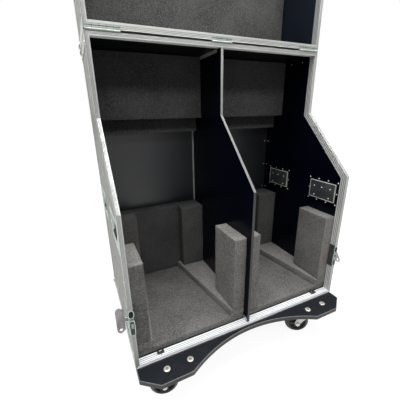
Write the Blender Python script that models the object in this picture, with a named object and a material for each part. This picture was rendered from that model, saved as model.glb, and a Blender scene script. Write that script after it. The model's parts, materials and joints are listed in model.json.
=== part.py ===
"""Wheeled flight case for a pair of stage monitor wedges, standing open on its castors.

The body is a plywood box whose front follows a wedge: a deep lower half, a slope and a shallow upper half.
A divider splits it into two foam-lined bays. The lid is the box's other half: it is hinged along the top
front edge and stands folded right back on the case's roof.

Case frame, in metres: x runs across from the middle of the box, y runs back from the lower front rim, and
z runs up from the inner floor. The last step puts the whole case on its wheels with the origin mid-footprint.
"""

import bpy
import bmesh
from math import atan2, cos, pi, radians, sin, tan
from mathutils import Matrix, Vector

GAP = 0.0003            # between pieces that touch
PLY = 0.010             # laminated plywood panel
SHEET = 0.0017          # aluminium edging outside the plywood
INNER_LEG = 0.0009      # ridged inner leg of a rim

HALF_INNER = 0.4385     # inner face of a side panel
HALF_PLY = HALF_INNER + PLY
HALF_OUTER = HALF_PLY + GAP + SHEET
FLOOR = 0.0
CEILING = 1.009
REAR_INNER = 0.512
BOTTOM_PLY = FLOOR - PLY
TOP_PLY = CEILING + PLY
REAR_PLY = REAR_INNER + PLY
BOTTOM_OUTER = BOTTOM_PLY - GAP - SHEET
TOP_OUTER = TOP_PLY + GAP + SHEET
REAR_OUTER = REAR_PLY + GAP + SHEET

UPPER_FRONT = 0.232     # y of the shallow upper front
SLOPE_LOW = 0.540       # z where the slope starts
SLOPE_HIGH = 0.782      # z where it ends
LID_FRONT_INNER = -0.076
LID_FRONT_PLY = LID_FRONT_INNER - PLY
LID_FRONT_OUTER = LID_FRONT_PLY - GAP - SHEET
MITRE = tan(atan2(UPPER_FRONT, SLOPE_HIGH - SLOPE_LOW) / 2)

RIM_CAP = 0.0022        # thickness of a rim in front of the plywood
RIM_LEG = 0.026         # how far a rim's legs run along a panel
LID_CLEARANCE = 0.0006  # between the two rims when shut
HINGE_RAIL = 0.019      # height of the lid's rim along the hinges
EDGE_WIDTH = 0.030      # legs of the outer edge angles
BALL_RADIUS = 0.014     # corner balls
BALL_INSET = 0.009

HINGE_Z = 1.0247        # pin height
KNUCKLE_RADIUS = 0.0032
PIN_RADIUS = 0.0014
HINGES = {"left": (-0.398, 0.100), "middle": (-0.005, 0.080), "right": (0.398, 0.100)}
LID_OPEN = 180          # degrees from shut

DIVIDER = (-0.0092, 0.0005)
BAYS = {
    "left": (-HALF_INNER + GAP, DIVIDER[0] - GAP),
    "right": (DIVIDER[1] + GAP, HALF_INNER - GAP),
}
FOAM_FRONT = 0.0265
FLOOR_FOAM_TOP = 0.028
STRIP_TOP = 0.058
STRIP_FRONT_WIDTH = 0.057
STRIP_REAR_WIDTH = 0.126
FRONT_BLOCK_WIDTH = 0.051
FRONT_BLOCK_BACK = 0.177
FRONT_BLOCK_TOP = 0.361
REAR_BLOCK_WIDTH = 0.109
REAR_BLOCK_FRONT = 0.406
BACK_BOARD_FRONT = 0.458
REAR_FOAM_TOP = 0.365
UPPER_BACK_FRONT, UPPER_BACK_BOTTOM = 0.461, 0.711
UPPER_FACE_FRONT, UPPER_FACE_BOTTOM = 0.404, 0.771
LID_FOAM_FACE = 0.019   # deep upper block of the lid's lining
LID_FOAM_STEP = 0.566   # height where it thins
LID_FOAM_THIN = -0.030  # face of the thin lower stretch
LID_FOAM_SIDE_GAP = 0.0046   # between the lining's edges and the lid's side panels

HANDLE_YS = {"front": 0.1065, "rear": 0.391}
HANDLE_Z = 0.457
DISH_BACK = 0.0040      # how far a dish stands into the case
HANDLE_POCKET = (0.132, 0.078)
HANDLE_FLANGE = (0.158, 0.112)
DISH_WALL = 0.0014
GRIP_PIVOT_X = 0.4435
GRIP_PIVOT_RISE = 0.028
GRIP_DROP = 0.050       # from the pivot to the middle of the hand bar

LATCH_Y, LATCH_Z = 0.026, 0.180
LATCH_HALF_HEIGHT = 0.048
LATCH_DEPTH = 0.052     # how far back the latch pocket runs
LATCH_REST_TURNS = {"left": 0, "right": 35}
HOOK_THROW = 0.012      # over half a turn
WING_SPAN = 0.096
WING_REACH = 0.032
WING_PIN_X = 0.4565

BOARD_TOP = BOTTOM_OUTER - GAP
BOARD_BOTTOM = BOARD_TOP - 0.018
WING_FRONT = -0.088     # front edge of the board's two wings
BOARD_MIDDLE = -0.012   # front edge at the middle of the cut-out
CUTOUT_RADIUS = 0.546
CORNER_CUT = (0.061, 0.045)
PLATE_SIZE = (0.105, 0.082)
PLATE_THICKNESS = 0.004
CASTOR_X = 0.314
CASTOR_YS = {"front": -0.010, "rear": 0.450}
CASTOR_HEADINGS = {"front_left": 168, "front_right": 151, "rear_left": 205, "rear_right": 160}
CASTOR_TRAIL = 0.047
WHEEL_RADIUS = 0.052
WHEEL_HALF_WIDTH = 0.016
AXLE_Z = -0.1175
AXLE_RADIUS = 0.006
GROUND = AXLE_Z - WHEEL_RADIUS
SIDES = {"left": -1, "right": 1}

LID_REAR = 2 * UPPER_FRONT - LID_FRONT_OUTER + BALL_RADIUS - BALL_INSET
FOOTPRINT_MIDDLE = (WING_FRONT + LID_REAR) / 2


# Materials

def make_material(name, color, roughness, metallic=0.0):
    made = bpy.data.materials.new(name)
    made.use_nodes = True
    shader = made.node_tree.nodes["Principled BSDF"]
    shader.inputs["Base Color"].default_value = (*color, 1.0)
    shader.inputs["Roughness"].default_value = roughness
    shader.inputs["Metallic"].default_value = metallic
    return made


def make_materials():
    return {
        "laminate": make_material("grey_laminate", (0.33, 0.33, 0.30), 0.45),
        "aluminium": make_material("ridged_aluminium", (0.70, 0.71, 0.72), 0.35, 1.0),
        "foam": make_material("polyethylene_foam", (0.10, 0.10, 0.095), 0.9),
        "zinc": make_material("zinc_plated_steel", (0.62, 0.62, 0.60), 0.32, 1.0),
        "board": make_material("black_faced_board", (0.020, 0.023, 0.027), 0.4),
        "rubber": make_material("black_rubber", (0.012, 0.012, 0.012), 0.7),
        "divider": make_material("dark_laminate", (0.004, 0.006, 0.011), 0.35),
    }


# Mesh helpers

def box(low, high):
    mesh = bmesh.new()
    bmesh.ops.create_cube(mesh, size=1.0)
    for vertex in mesh.verts:
        vertex.co = Vector(low[i] + (vertex.co[i] + 0.5) * (high[i] - low[i]) for i in range(3))
    return mesh


def side_box(side, x, y, z):
    """A box whose x range counts outwards on the given side of the case."""
    x_low, x_high = sorted((side * x[0], side * x[1]))
    return box((x_low, y[0], z[0]), (x_high, y[1], z[1]))


def prism(outline, axis, low, high):
    """The outline's points, given in the two directions across the axis, swept along it."""
    mesh = bmesh.new()
    lower = []
    for first, second in outline:
        point = [first, second]
        point.insert(axis, low)
        lower.append(mesh.verts.new(point))
    face = mesh.faces.new(lower)
    swept = bmesh.ops.extrude_face_region(mesh, geom=[face])
    moved = [item for item in swept["geom"] if isinstance(item, bmesh.types.BMVert)]
    shift = Vector((0, 0, 0))
    shift[axis] = high - low
    bmesh.ops.translate(mesh, verts=moved, vec=shift)
    return mesh


def rod(axis, centre, radius, low, high, segments=16):
    """A round bar along x, y or z; centre holds its place in the other two directions."""
    angles = [2 * pi * (i + 0.5) / segments for i in range(segments)]
    outline = [(centre[0] + radius * cos(a), centre[1] + radius * sin(a)) for a in angles]
    return prism(outline, axis, low, high)


def ball(centre, radius):
    mesh = bmesh.new()
    bmesh.ops.create_uvsphere(mesh, u_segments=12, v_segments=8, radius=radius)
    bmesh.ops.translate(mesh, verts=mesh.verts, vec=centre)
    return mesh


def ring(profile, segments):
    """A closed profile of (radius, y) points turned about the y axis."""
    mesh = bmesh.new()
    loops = []
    for i in range(segments):
        angle = 2 * pi * i / segments
        points = [(r * sin(angle), y, -r * cos(angle)) for r, y in profile]
        loops.append([mesh.verts.new(point) for point in points])
    for i in range(segments):
        this, after = loops[i], loops[(i + 1) % segments]
        for j in range(len(profile)):
            k = (j + 1) % len(profile)
            mesh.faces.new((this[j], this[k], after[k], after[j]))
    return mesh


def mesh_object(name, mesh, pivot):
    """An object whose origin is the pivot, in the frame that the mesh was drawn in."""
    bmesh.ops.translate(mesh, verts=mesh.verts, vec=-Vector(pivot))
    bmesh.ops.recalc_face_normals(mesh, faces=mesh.faces)
    data = bpy.data.meshes.new(name)
    mesh.to_mesh(data)
    mesh.free()
    made = bpy.data.objects.new(name, data)
    made.location = pivot
    bpy.context.scene.collection.objects.link(made)
    return made


def hang_on(piece, parent):
    """Puts a piece drawn in the shut case's frame under the parent, which carries it along."""
    if parent:
        piece.parent = parent
        piece.matrix_parent_inverse = Matrix.Translation(-parent.location)


def combine(target, mesh, operation, parent):
    helper = mesh_object(f"{target.name}_{operation.lower()}", mesh, (0, 0, 0))
    helper.hide_render = True
    helper.display_type = "WIRE"
    hang_on(helper, parent)
    modifier = target.modifiers.new(operation.title(), "BOOLEAN")
    modifier.operation = operation
    modifier.solver = "EXACT"
    modifier.object = helper


def solid(name, surface, shapes, cuts=(), pivot=(0, 0, 0), parent=None, smooth=False):
    """One piece of the case: the union of some shapes less the union of some cuts."""
    piece = mesh_object(name, shapes[0], pivot)
    piece.data.materials.append(surface)
    if smooth:
        piece.data.shade_smooth()
        piece.data.set_sharp_from_angle(angle=radians(35))
    hang_on(piece, parent)
    for shape in shapes[1:]:
        combine(piece, shape, "UNION", parent)
    for cut in cuts:
        combine(piece, cut, "DIFFERENCE", parent)
    return piece


def axis_empty(name, place, rotation=(0, 0, 0)):
    empty = bpy.data.objects.new(name, None)
    empty.location = place
    empty.rotation_euler = rotation
    bpy.context.scene.collection.objects.link(empty)
    return empty


# The wedge outline

def front_path(inset, low, high):
    """The rim line in (y, z), moved back into the case by the inset, or forward into the lid where negative."""
    return [
        (inset, low),
        (inset, SLOPE_LOW - MITRE * inset),
        (UPPER_FRONT + inset, SLOPE_HIGH - MITRE * inset),
        (UPPER_FRONT + inset, high),
    ]


def band(near, far, low, high):
    """A strip of even width that follows the rim line."""
    return front_path(near, low, high) + front_path(far, low, high)[::-1]


# Body

def latch_notch(side, reach):
    """The cut that the latch pocket sits in, running back from the rim by the reach, or forward in the lid.

    It leaves the rim's inner leg whole."""
    y = sorted((-reach / 50, reach + (GAP if reach > 0 else -GAP)))
    half = LATCH_HALF_HEIGHT + GAP
    return side_box(side, (HALF_INNER, HALF_OUTER + 0.01), y, (LATCH_Z - half, LATCH_Z + half))


def handle_hole(side, y):
    half_width, half_height = HANDLE_POCKET[0] / 2 + GAP, HANDLE_POCKET[1] / 2 + GAP
    return side_box(
        side,
        (HALF_INNER - 0.01, HALF_OUTER + 0.01),
        (y - half_width, y + half_width),
        (HANDLE_Z - half_height, HANDLE_Z + half_height),
    )


def build_panels(surfaces):
    outline = front_path(RIM_CAP + GAP, BOTTOM_PLY, TOP_PLY) + [(REAR_PLY, TOP_PLY), (REAR_PLY, BOTTOM_PLY)]
    for word, side in SIDES.items():
        low, high = sorted((side * HALF_INNER, side * HALF_PLY))
        cuts = [handle_hole(side, y) for y in HANDLE_YS.values()] + [latch_notch(side, LATCH_DEPTH)]
        solid(f"{word}_side_panel", surfaces["laminate"], [prism(outline, 0, low, high)], cuts)
    half = HALF_INNER - GAP
    flat_panels = {
        "back_panel": ((-half, REAR_INNER, BOTTOM_PLY), (half, REAR_PLY, TOP_PLY)),
        "top_panel": ((-half, UPPER_FRONT + RIM_CAP + GAP, CEILING), (half, REAR_INNER - GAP, TOP_PLY)),
        "bottom_panel": ((-half, RIM_CAP + GAP, BOTTOM_PLY), (half, REAR_INNER - GAP, FLOOR)),
    }
    for name, (low, high) in flat_panels.items():
        solid(name, surfaces["laminate"], [box(low, high)])


def build_divider(surfaces):
    low, high = FLOOR + INNER_LEG + 2 * GAP, CEILING - INNER_LEG - 2 * GAP
    outline = front_path(GAP, low, high) + [(REAR_INNER - GAP, high), (REAR_INNER - GAP, low)]
    solid("divider_panel", surfaces["divider"], [prism(outline, 0, *DIVIDER)])


def rim_side(side, near, far):
    """One upright of a rim, with the slot that takes the side panel's edge."""
    inner, outer = HALF_INNER - GAP - INNER_LEG, HALF_OUTER
    sign = 1 if far > near else -1
    slot_near, slot_far = near + sign * RIM_CAP, far + sign * 0.01
    x_low, x_high = sorted((side * inner, side * outer))
    slot_low, slot_high = sorted((side * (HALF_INNER - GAP), side * (HALF_PLY + GAP)))
    shape = prism(band(near, far, BOTTOM_OUTER, TOP_OUTER), 0, x_low, x_high)
    slot = prism(band(slot_near, slot_far, BOTTOM_PLY - GAP, TOP_PLY + GAP), 0, slot_low, slot_high)
    return shape, slot


def rim_rail(front, back, z_low, z_high, slot_low, slot_high, cap_at_front):
    """One level rail of a rim, with the slot that takes a panel's edge."""
    half = HALF_OUTER - 2 * SHEET
    shape = box((-HALF_OUTER, front, z_low), (HALF_OUTER, back, z_high))
    y = (front + RIM_CAP, back + 0.01) if cap_at_front else (front - 0.01, back - RIM_CAP)
    slot = box((-half, y[0], slot_low), (half, y[1], slot_high))
    return shape, slot


def hinge_knuckles(centre, length, turn):
    """Barrels along a hinge and the webs that join them to the leaf behind (turn 1) or in front (turn -1)."""
    count = 5
    pitch = length / count
    shapes = []
    for i in range(count):
        if (i % 2 == 0) != (turn > 0):
            continue
        low = centre - length / 2 + i * pitch + GAP / 2
        high = low + pitch - GAP
        shapes.append(rod(0, (UPPER_FRONT, HINGE_Z), KNUCKLE_RADIUS, low, high, 12))
        y = sorted((UPPER_FRONT, UPPER_FRONT + turn * 0.008))
        shapes.append(box((low, y[0], HINGE_Z - KNUCKLE_RADIUS), (high, y[1], HINGE_Z - 0.0017)))
    return shapes


def hinge_leaf(centre, length, turn):
    y = sorted((UPPER_FRONT + turn * 0.0055, UPPER_FRONT + turn * RIM_LEG))
    low, high = centre - length / 2 + GAP / 2, centre + length / 2 - GAP / 2
    return box((low, y[0], TOP_OUTER + GAP * (turn < 0)), (high, y[1], HINGE_Z - 0.0017))


def build_front_rim(surfaces):
    """The frame round the mouth of the case, with the fixed half of each hinge."""
    sides = [rim_side(side, 0.0, RIM_LEG) for side in SIDES.values()]
    leg_low, leg_high = FLOOR + GAP, FLOOR + GAP + INNER_LEG
    bottom = rim_rail(0.0, RIM_LEG, BOTTOM_OUTER, leg_high, BOTTOM_PLY - GAP, leg_low, True)
    ceiling_leg = CEILING - GAP - INNER_LEG
    top = rim_rail(
        UPPER_FRONT, UPPER_FRONT + RIM_LEG, ceiling_leg, TOP_OUTER, CEILING - GAP, TOP_PLY + GAP, True
    )
    parts = sides + [bottom, top]
    shapes = [shape for shape, slot in parts]
    cuts = [slot for shape, slot in parts] + [latch_notch(side, LATCH_DEPTH) for side in SIDES.values()]
    rim = solid("front_rim", surfaces["aluminium"], shapes, cuts)
    for centre, length in HINGES.values():
        for shape in hinge_knuckles(centre, length, 1) + [hinge_leaf(centre, length, 1)]:
            combine(rim, shape, "UNION", None)
        pin = rod(0, (UPPER_FRONT, HINGE_Z), PIN_RADIUS, centre - length / 2 + GAP, centre + length / 2 - GAP, 12)
        combine(rim, pin, "UNION", None)


def build_edge_frame(surfaces):
    """Aluminium angle along the eight outer edges behind the rim, with a ball at each rear corner."""
    inset = RIM_LEG + GAP
    outside = front_path(inset, BOTTOM_OUTER, TOP_OUTER) + [(REAR_OUTER, TOP_OUTER), (REAR_OUTER, BOTTOM_OUTER)]
    inside = front_path(inset - 0.01, BOTTOM_PLY - GAP, TOP_PLY + GAP)
    inside += [(REAR_PLY + GAP, TOP_PLY + GAP), (REAR_PLY + GAP, BOTTOM_PLY - GAP)]
    reach = HALF_OUTER - EDGE_WIDTH
    back, low, high = REAR_OUTER - EDGE_WIDTH, BOTTOM_OUTER + EDGE_WIDTH, TOP_OUTER - EDGE_WIDTH
    cuts = [
        prism(inside, 0, -HALF_PLY - GAP, HALF_PLY + GAP),
        box((-1, -1, low), (1, back, high)),
        box((-reach, -1, low), (reach, 1, high)),
        box((-reach, -1, -1), (reach, back, 2)),
    ]
    shell = prism(outside, 0, -HALF_OUTER, HALF_OUTER)
    solid("edge_frame", surfaces["aluminium"], [shell] + corner_balls(REAR_OUTER - BALL_INSET), cuts)


def corner_balls(y):
    """Pressed corners, of which the part outside the plywood is kept."""
    heights = (BOTTOM_OUTER + BALL_INSET, TOP_OUTER - BALL_INSET)
    half = HALF_OUTER - BALL_INSET
    return [ball((side * half, y, z), BALL_RADIUS) for side in SIDES.values() for z in heights]


# Foam lining

def strip_outline(wall, inwards):
    """A tapered strip seen from above, against the wall at x, widening towards the back."""
    return [
        (wall, FOAM_FRONT),
        (wall, BACK_BOARD_FRONT),
        (wall + inwards * STRIP_REAR_WIDTH, BACK_BOARD_FRONT),
        (wall + inwards * STRIP_FRONT_WIDTH, FOAM_FRONT),
    ]


def build_bay_foam(word, low, high, foam):
    floor = box((low, FOAM_FRONT, FLOOR + 2 * GAP + INNER_LEG), (high, REAR_INNER - GAP, FLOOR_FOAM_TOP))
    strips = [
        prism(strip_outline(wall, inwards), 2, FLOOR_FOAM_TOP / 2, STRIP_TOP)
        for wall, inwards in ((low, 1), (high, -1))
    ]
    solid(f"{word}_floor_foam", foam, [floor] + strips)
    for place, start in (("outer", low), ("inner", high - FRONT_BLOCK_WIDTH)):
        if word == "right":
            place = "inner" if place == "outer" else "outer"
        block_low = (start, FOAM_FRONT, STRIP_TOP + GAP)
        block_high = (start + FRONT_BLOCK_WIDTH, FRONT_BLOCK_BACK, FRONT_BLOCK_TOP)
        solid(f"{word}_{place}_front_block", foam, [box(block_low, block_high)])
    back_board = box(
        (low, BACK_BOARD_FRONT + GAP, FLOOR_FOAM_TOP + GAP), (high, REAR_INNER - GAP, REAR_FOAM_TOP)
    )
    rear_blocks = [
        box(
            (start, REAR_BLOCK_FRONT, STRIP_TOP + GAP),
            (start + REAR_BLOCK_WIDTH, BACK_BOARD_FRONT + 0.02, REAR_FOAM_TOP),
        )
        for start in (low, high - REAR_BLOCK_WIDTH)
    ]
    solid(f"{word}_rear_foam", foam, [back_board] + rear_blocks)
    top = CEILING - 3 * GAP - INNER_LEG
    stepped = [
        (UPPER_FACE_FRONT, UPPER_FACE_BOTTOM),
        (UPPER_FACE_FRONT, top),
        (REAR_INNER - GAP, top),
        (REAR_INNER - GAP, UPPER_BACK_BOTTOM),
        (UPPER_BACK_FRONT, UPPER_BACK_BOTTOM),
        (UPPER_BACK_FRONT, UPPER_FACE_BOTTOM),
    ]
    solid(f"{word}_upper_foam", foam, [prism(stepped, 0, low, high)])


def build_foam(surfaces):
    for word, (low, high) in BAYS.items():
        build_bay_foam(word, low, high, surfaces["foam"])


# Handles

def build_handle(word, side, place, y, surfaces):
    half_width, half_height = HANDLE_POCKET[0] / 2, HANDLE_POCKET[1] / 2
    flange_width, flange_height = HANDLE_FLANGE[0] / 2, HANDLE_FLANGE[1] / 2
    back, face = HALF_INNER - DISH_BACK, HALF_PLY + GAP + DISH_WALL
    flange = side_box(
        side,
        (HALF_PLY + GAP, face),
        (y - flange_width, y + flange_width),
        (HANDLE_Z - flange_height, HANDLE_Z + flange_height),
    )
    tray = side_box(
        side,
        (back, face),
        (y - half_width, y + half_width),
        (HANDLE_Z - half_height, HANDLE_Z + half_height),
    )
    half_width -= DISH_WALL
    half_height -= DISH_WALL
    hollow = side_box(
        side,
        (back + DISH_WALL, face + 0.01),
        (y - half_width, y + half_width),
        (HANDLE_Z - half_height, HANDLE_Z + half_height),
    )
    solid(f"{word}_{place}_handle_dish", surfaces["zinc"], [flange, tray], [hollow])
    build_grip(f"{word}_{place}_handle_grip", side, y, half_width, surfaces)


def build_grip(name, side, y, half_width, surfaces):
    """A sprung bail: its pivot rod, two arms and a thick hand bar."""
    x, z = side * GRIP_PIVOT_X, HANDLE_Z + GRIP_PIVOT_RISE
    pivot_rod = rod(1, (x, z), 0.0032, y - half_width + 0.001, y + half_width - 0.001)
    hand_bar = rod(1, (x, z - GRIP_DROP), 0.0068, y - 0.052, y + 0.052)
    arms = [
        box((x - 0.0025, y + offset - 0.004, z - GRIP_DROP), (x + 0.0025, y + offset + 0.004, z))
        for offset in (-0.047, 0.047)
    ]
    axis = axis_empty(f"{name}_axis", (x, y, z))
    solid(name, surfaces["rubber"], [pivot_rod, hand_bar] + arms, pivot=(x, y, z), parent=axis, smooth=True)


def build_handles(surfaces):
    for word, side in SIDES.items():
        for place, y in HANDLE_YS.items():
            build_handle(word, side, place, y, surfaces)


# Latches

def latch_pocket(side, front, back, surfaces, name, parent=None, extras=()):
    """A pressed pocket set in a side panel, open outwards and at the rim line."""
    towards_back = back > front
    y_outer = sorted((front, back))
    flange_end = back + (0.008 if towards_back else -0.008)
    y_flange = sorted((front, flange_end))
    y_hollow = sorted((front - (0.01 if towards_back else -0.01), back - (DISH_WALL if towards_back else -DISH_WALL)))
    low, high = LATCH_Z - LATCH_HALF_HEIGHT, LATCH_Z + LATCH_HALF_HEIGHT
    inside, seat = HALF_INNER + GAP, HALF_OUTER + GAP
    tray = side_box(side, (inside, seat + DISH_WALL), y_outer, (low, high))
    flange = side_box(side, (seat, seat + DISH_WALL), y_flange, (low - 0.010, high + 0.010))
    hollow = side_box(
        side, (inside + DISH_WALL, seat + 0.01), y_hollow, (low + DISH_WALL, high - DISH_WALL)
    )
    piece = solid(name, surfaces["zinc"], [tray, flange], [hollow], parent=parent)
    for shape in extras:
        combine(piece, shape, "UNION", parent)
    return piece


def wing_outline():
    """Half of the butterfly's edge in (distance from the pin, z), rounded at the tip."""
    root, half = 0.0064, WING_SPAN / 2
    lobe = 0.013
    points = [(root, -half + 0.010), (root, half - 0.010)]
    for centre_z, start in ((half - lobe, 90), (-half + lobe, 0)):
        for step in range(5):
            angle = radians(start - 22.5 * step)
            points.append((WING_REACH - lobe + lobe * cos(angle), centre_z + lobe * sin(angle)))
    return points


def build_latch(word, side, surfaces):
    turn = LATCH_REST_TURNS[word]
    latch_pocket(side, 0.0006, LATCH_DEPTH, surfaces, f"{word}_latch_dish")
    throw = HOOK_THROW * turn / 180
    hook_floor = HALF_INNER + DISH_WALL + 2 * GAP
    bar = side_box(
        side, (hook_floor, hook_floor + 0.0025), (0.0015 - throw, 0.034 - throw), (LATCH_Z - 0.022, LATCH_Z - 0.004)
    )
    claw = side_box(
        side, (hook_floor, hook_floor + 0.0065), (0.0015 - throw, 0.0045 - throw), (LATCH_Z - 0.022, LATCH_Z - 0.004)
    )
    solid(f"{word}_latch_hook", surfaces["zinc"], [bar, claw], pivot=(side * hook_floor, 0, LATCH_Z))
    axis_place = (side * HALF_INNER, LATCH_Y, LATCH_Z)
    axis = axis_empty(f"{word}_latch_axis", axis_place, (-radians(turn), 0, 0))
    disc_floor = hook_floor + 0.0025 + GAP
    disc_shape = rod(0, (LATCH_Y, LATCH_Z), 0.015, *sorted((side * disc_floor, side * (disc_floor + 0.0048))))
    boss = rod(0, (LATCH_Y, LATCH_Z), 0.009, *sorted((side * disc_floor, side * (WING_PIN_X - 0.003))))
    ears = [
        side_box(
            side,
            (WING_PIN_X - 0.006, WING_PIN_X + 0.004),
            (LATCH_Y - 0.004, LATCH_Y + 0.004),
            (LATCH_Z + z - 0.0015, LATCH_Z + z + 0.0015),
        )
        for z in (-0.0075, 0.0075)
    ]
    solid(f"{word}_latch_rotor", surfaces["zinc"], [disc_shape, boss] + ears, pivot=axis_place, parent=axis)
    build_wing(word, side, surfaces, axis)


def build_wing(word, side, surfaces, axis):
    pin = (side * WING_PIN_X, LATCH_Y, LATCH_Z)
    outline = [(side * (WING_PIN_X + reach), LATCH_Z + z) for reach, z in wing_outline()]
    plate = prism(outline, 1, LATCH_Y - 0.0012, LATCH_Y + 0.0012)
    knuckle = rod(2, pin[:2], 0.0028, LATCH_Z - 0.0056, LATCH_Z + 0.0056, 12)
    tab = side_box(
        side,
        (WING_PIN_X, WING_PIN_X + 0.012),
        (LATCH_Y - 0.0012, LATCH_Y + 0.0012),
        (LATCH_Z - 0.0056, LATCH_Z + 0.0056),
    )
    padlock_hole = rod(1, (side * (WING_PIN_X + 0.020), LATCH_Z - 0.035), 0.0055, LATCH_Y - 0.01, LATCH_Y + 0.01)
    solid(f"{word}_latch_wing", surfaces["zinc"], [plate, knuckle, tab], [padlock_hole], pivot=pin, parent=axis)


def build_latches(surfaces):
    for word, side in SIDES.items():
        build_latch(word, side, surfaces)


# Castors

def board_outline():
    """The castor board from above: a wing at each front corner, an arc between them and cut corners."""
    wing_end = (CUTOUT_RADIUS**2 - (CUTOUT_RADIUS - (BOARD_MIDDLE - WING_FRONT)) ** 2) ** 0.5
    half, rear = HALF_OUTER - 0.001, REAR_OUTER - 0.001
    cut_x, cut_y = CORNER_CUT
    centre_y = BOARD_MIDDLE - CUTOUT_RADIUS
    spread = atan2(wing_end, CUTOUT_RADIUS - (BOARD_MIDDLE - WING_FRONT))
    steps = 20
    arc = []
    for i in range(steps + 1):
        angle = spread * (2 * i / steps - 1)
        arc.append((CUTOUT_RADIUS * sin(angle), centre_y + CUTOUT_RADIUS * cos(angle)))
    corner = 0.030
    right = [(half - cut_x, WING_FRONT), (half, WING_FRONT + cut_y), (half, rear - corner), (half - corner, rear)]
    left = [(-x, y) for x, y in right[::-1]]
    return arc + right + left


def castor_parts(name, place, heading, surfaces):
    """Plate, swivelling fork and wheel. They are drawn trailing along +x from the swivel axis."""
    plate_top = BOARD_BOTTOM - GAP
    plate_low = plate_top - PLATE_THICKNESS
    half_x, half_y = PLATE_SIZE[0] / 2, PLATE_SIZE[1] / 2
    x, y = place
    plate = box((x - half_x, y - half_y, plate_low), (x + half_x, y + half_y, plate_top))
    solid(f"{name}_castor_plate", surfaces["zinc"], [plate], pivot=(x, y, plate_top))
    axis = axis_empty(f"{name}_swivel_axis", (x, y, 0), (0, 0, radians(heading)))
    head_top = plate_low - GAP
    leg_inner, leg_outer = WHEEL_HALF_WIDTH + 0.003, WHEEL_HALF_WIDTH + 0.006
    leg = [
        (-0.026, head_top - 0.006),
        (0.034, head_top - 0.006),
        (CASTOR_TRAIL + 0.013, AXLE_Z + 0.004),
        (CASTOR_TRAIL + 0.006, AXLE_Z - 0.011),
        (CASTOR_TRAIL - 0.006, AXLE_Z - 0.011),
        (CASTOR_TRAIL - 0.013, AXLE_Z + 0.004),
    ]
    shapes = [rod(2, (0, 0), 0.034, head_top - 0.010, head_top, 24)]
    for low, high in ((-leg_outer, -leg_inner), (leg_inner, leg_outer)):
        shapes.append(prism(leg, 1, low, high))
    shapes.append(rod(1, (CASTOR_TRAIL, AXLE_Z), AXLE_RADIUS, -leg_outer - 0.004, leg_outer + 0.004))
    for shape in shapes:
        bmesh.ops.translate(shape, verts=shape.verts, vec=(x, y, 0))
    solid(f"{name}_castor_fork", surfaces["zinc"], shapes, pivot=(x, y, 0), parent=axis, smooth=True)
    wheel = ring(wheel_profile(), 24)
    hub = Vector((x + CASTOR_TRAIL, y, AXLE_Z))
    bmesh.ops.translate(wheel, verts=wheel.verts, vec=hub)
    solid(f"{name}_castor_wheel", surfaces["rubber"], [wheel], pivot=hub, parent=axis, smooth=True)


def wheel_profile():
    """Tread, shoulders, dished sides and hub, with a running bore for the axle."""
    bore, half = AXLE_RADIUS + 0.0003, WHEEL_HALF_WIDTH
    quarter = [
        (bore, half + 0.002),
        (0.014, half + 0.002),
        (0.014, half - 0.006),
        (0.034, half - 0.006),
        (0.037, half - 0.001),
        (0.045, half),
        (WHEEL_RADIUS, half - 0.005),
    ]
    return quarter + [(radius, -y) for radius, y in quarter[::-1]]


def build_running_gear(surfaces):
    board = prism(board_outline(), 2, BOARD_BOTTOM, BOARD_TOP)
    balls = [
        ball((side * (HALF_OUTER - BALL_INSET), REAR_OUTER - BALL_INSET, BOTTOM_OUTER + BALL_INSET), 0.017)
        for side in SIDES.values()
    ]
    solid("castor_board", surfaces["board"], [board], balls)
    for end, y in CASTOR_YS.items():
        for word, side in SIDES.items():
            name = f"{end}_{word}"
            castor_parts(name, (side * CASTOR_X, y), CASTOR_HEADINGS[name], surfaces)


# Lid, drawn shut in front of the body and then turned open about the hinge line

def build_lid_panels(surfaces, axis):
    near = -LID_CLEARANCE - RIM_CAP - GAP
    outline = front_path(near, BOTTOM_PLY, TOP_PLY) + [(LID_FRONT_PLY, TOP_PLY), (LID_FRONT_PLY, BOTTOM_PLY)]
    for word, side in SIDES.items():
        low, high = sorted((side * HALF_INNER, side * HALF_PLY))
        cuts = [latch_notch(side, -LATCH_DEPTH)]
        solid(f"lid_{word}_panel", surfaces["laminate"], [prism(outline, 0, low, high)], cuts, parent=axis)
    half = HALF_INNER - GAP
    top_back, bottom_back = UPPER_FRONT + near, near
    flat_panels = {
        "lid_front_panel": ((-half, LID_FRONT_PLY, BOTTOM_PLY), (half, LID_FRONT_INNER, TOP_PLY)),
        "lid_top_panel": ((-half, LID_FRONT_INNER + GAP, CEILING), (half, top_back, TOP_PLY)),
        "lid_bottom_panel": ((-half, LID_FRONT_INNER + GAP, BOTTOM_PLY), (half, bottom_back, FLOOR)),
    }
    for name, (low, high) in flat_panels.items():
        solid(name, surfaces["laminate"], [box(low, high)], parent=axis)


def build_lid_rim(surfaces, axis):
    near, far = -LID_CLEARANCE, -RIM_LEG
    sides = [rim_side(side, near, far) for side in SIDES.values()]
    leg_low, leg_high = FLOOR + GAP, FLOOR + GAP + INNER_LEG
    bottom = rim_rail(far, near, BOTTOM_OUTER, leg_high, BOTTOM_PLY - GAP, leg_low, False)
    top = rim_rail(
        UPPER_FRONT + far, UPPER_FRONT + near, TOP_OUTER - HINGE_RAIL, TOP_OUTER, CEILING - GAP, TOP_PLY + GAP, False
    )
    parts = sides + [bottom, top]
    cuts = [slot for shape, slot in parts] + [latch_notch(side, -LATCH_DEPTH) for side in SIDES.values()]
    solid("lid_rim", surfaces["aluminium"], [shape for shape, slot in parts], cuts, parent=axis)


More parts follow.
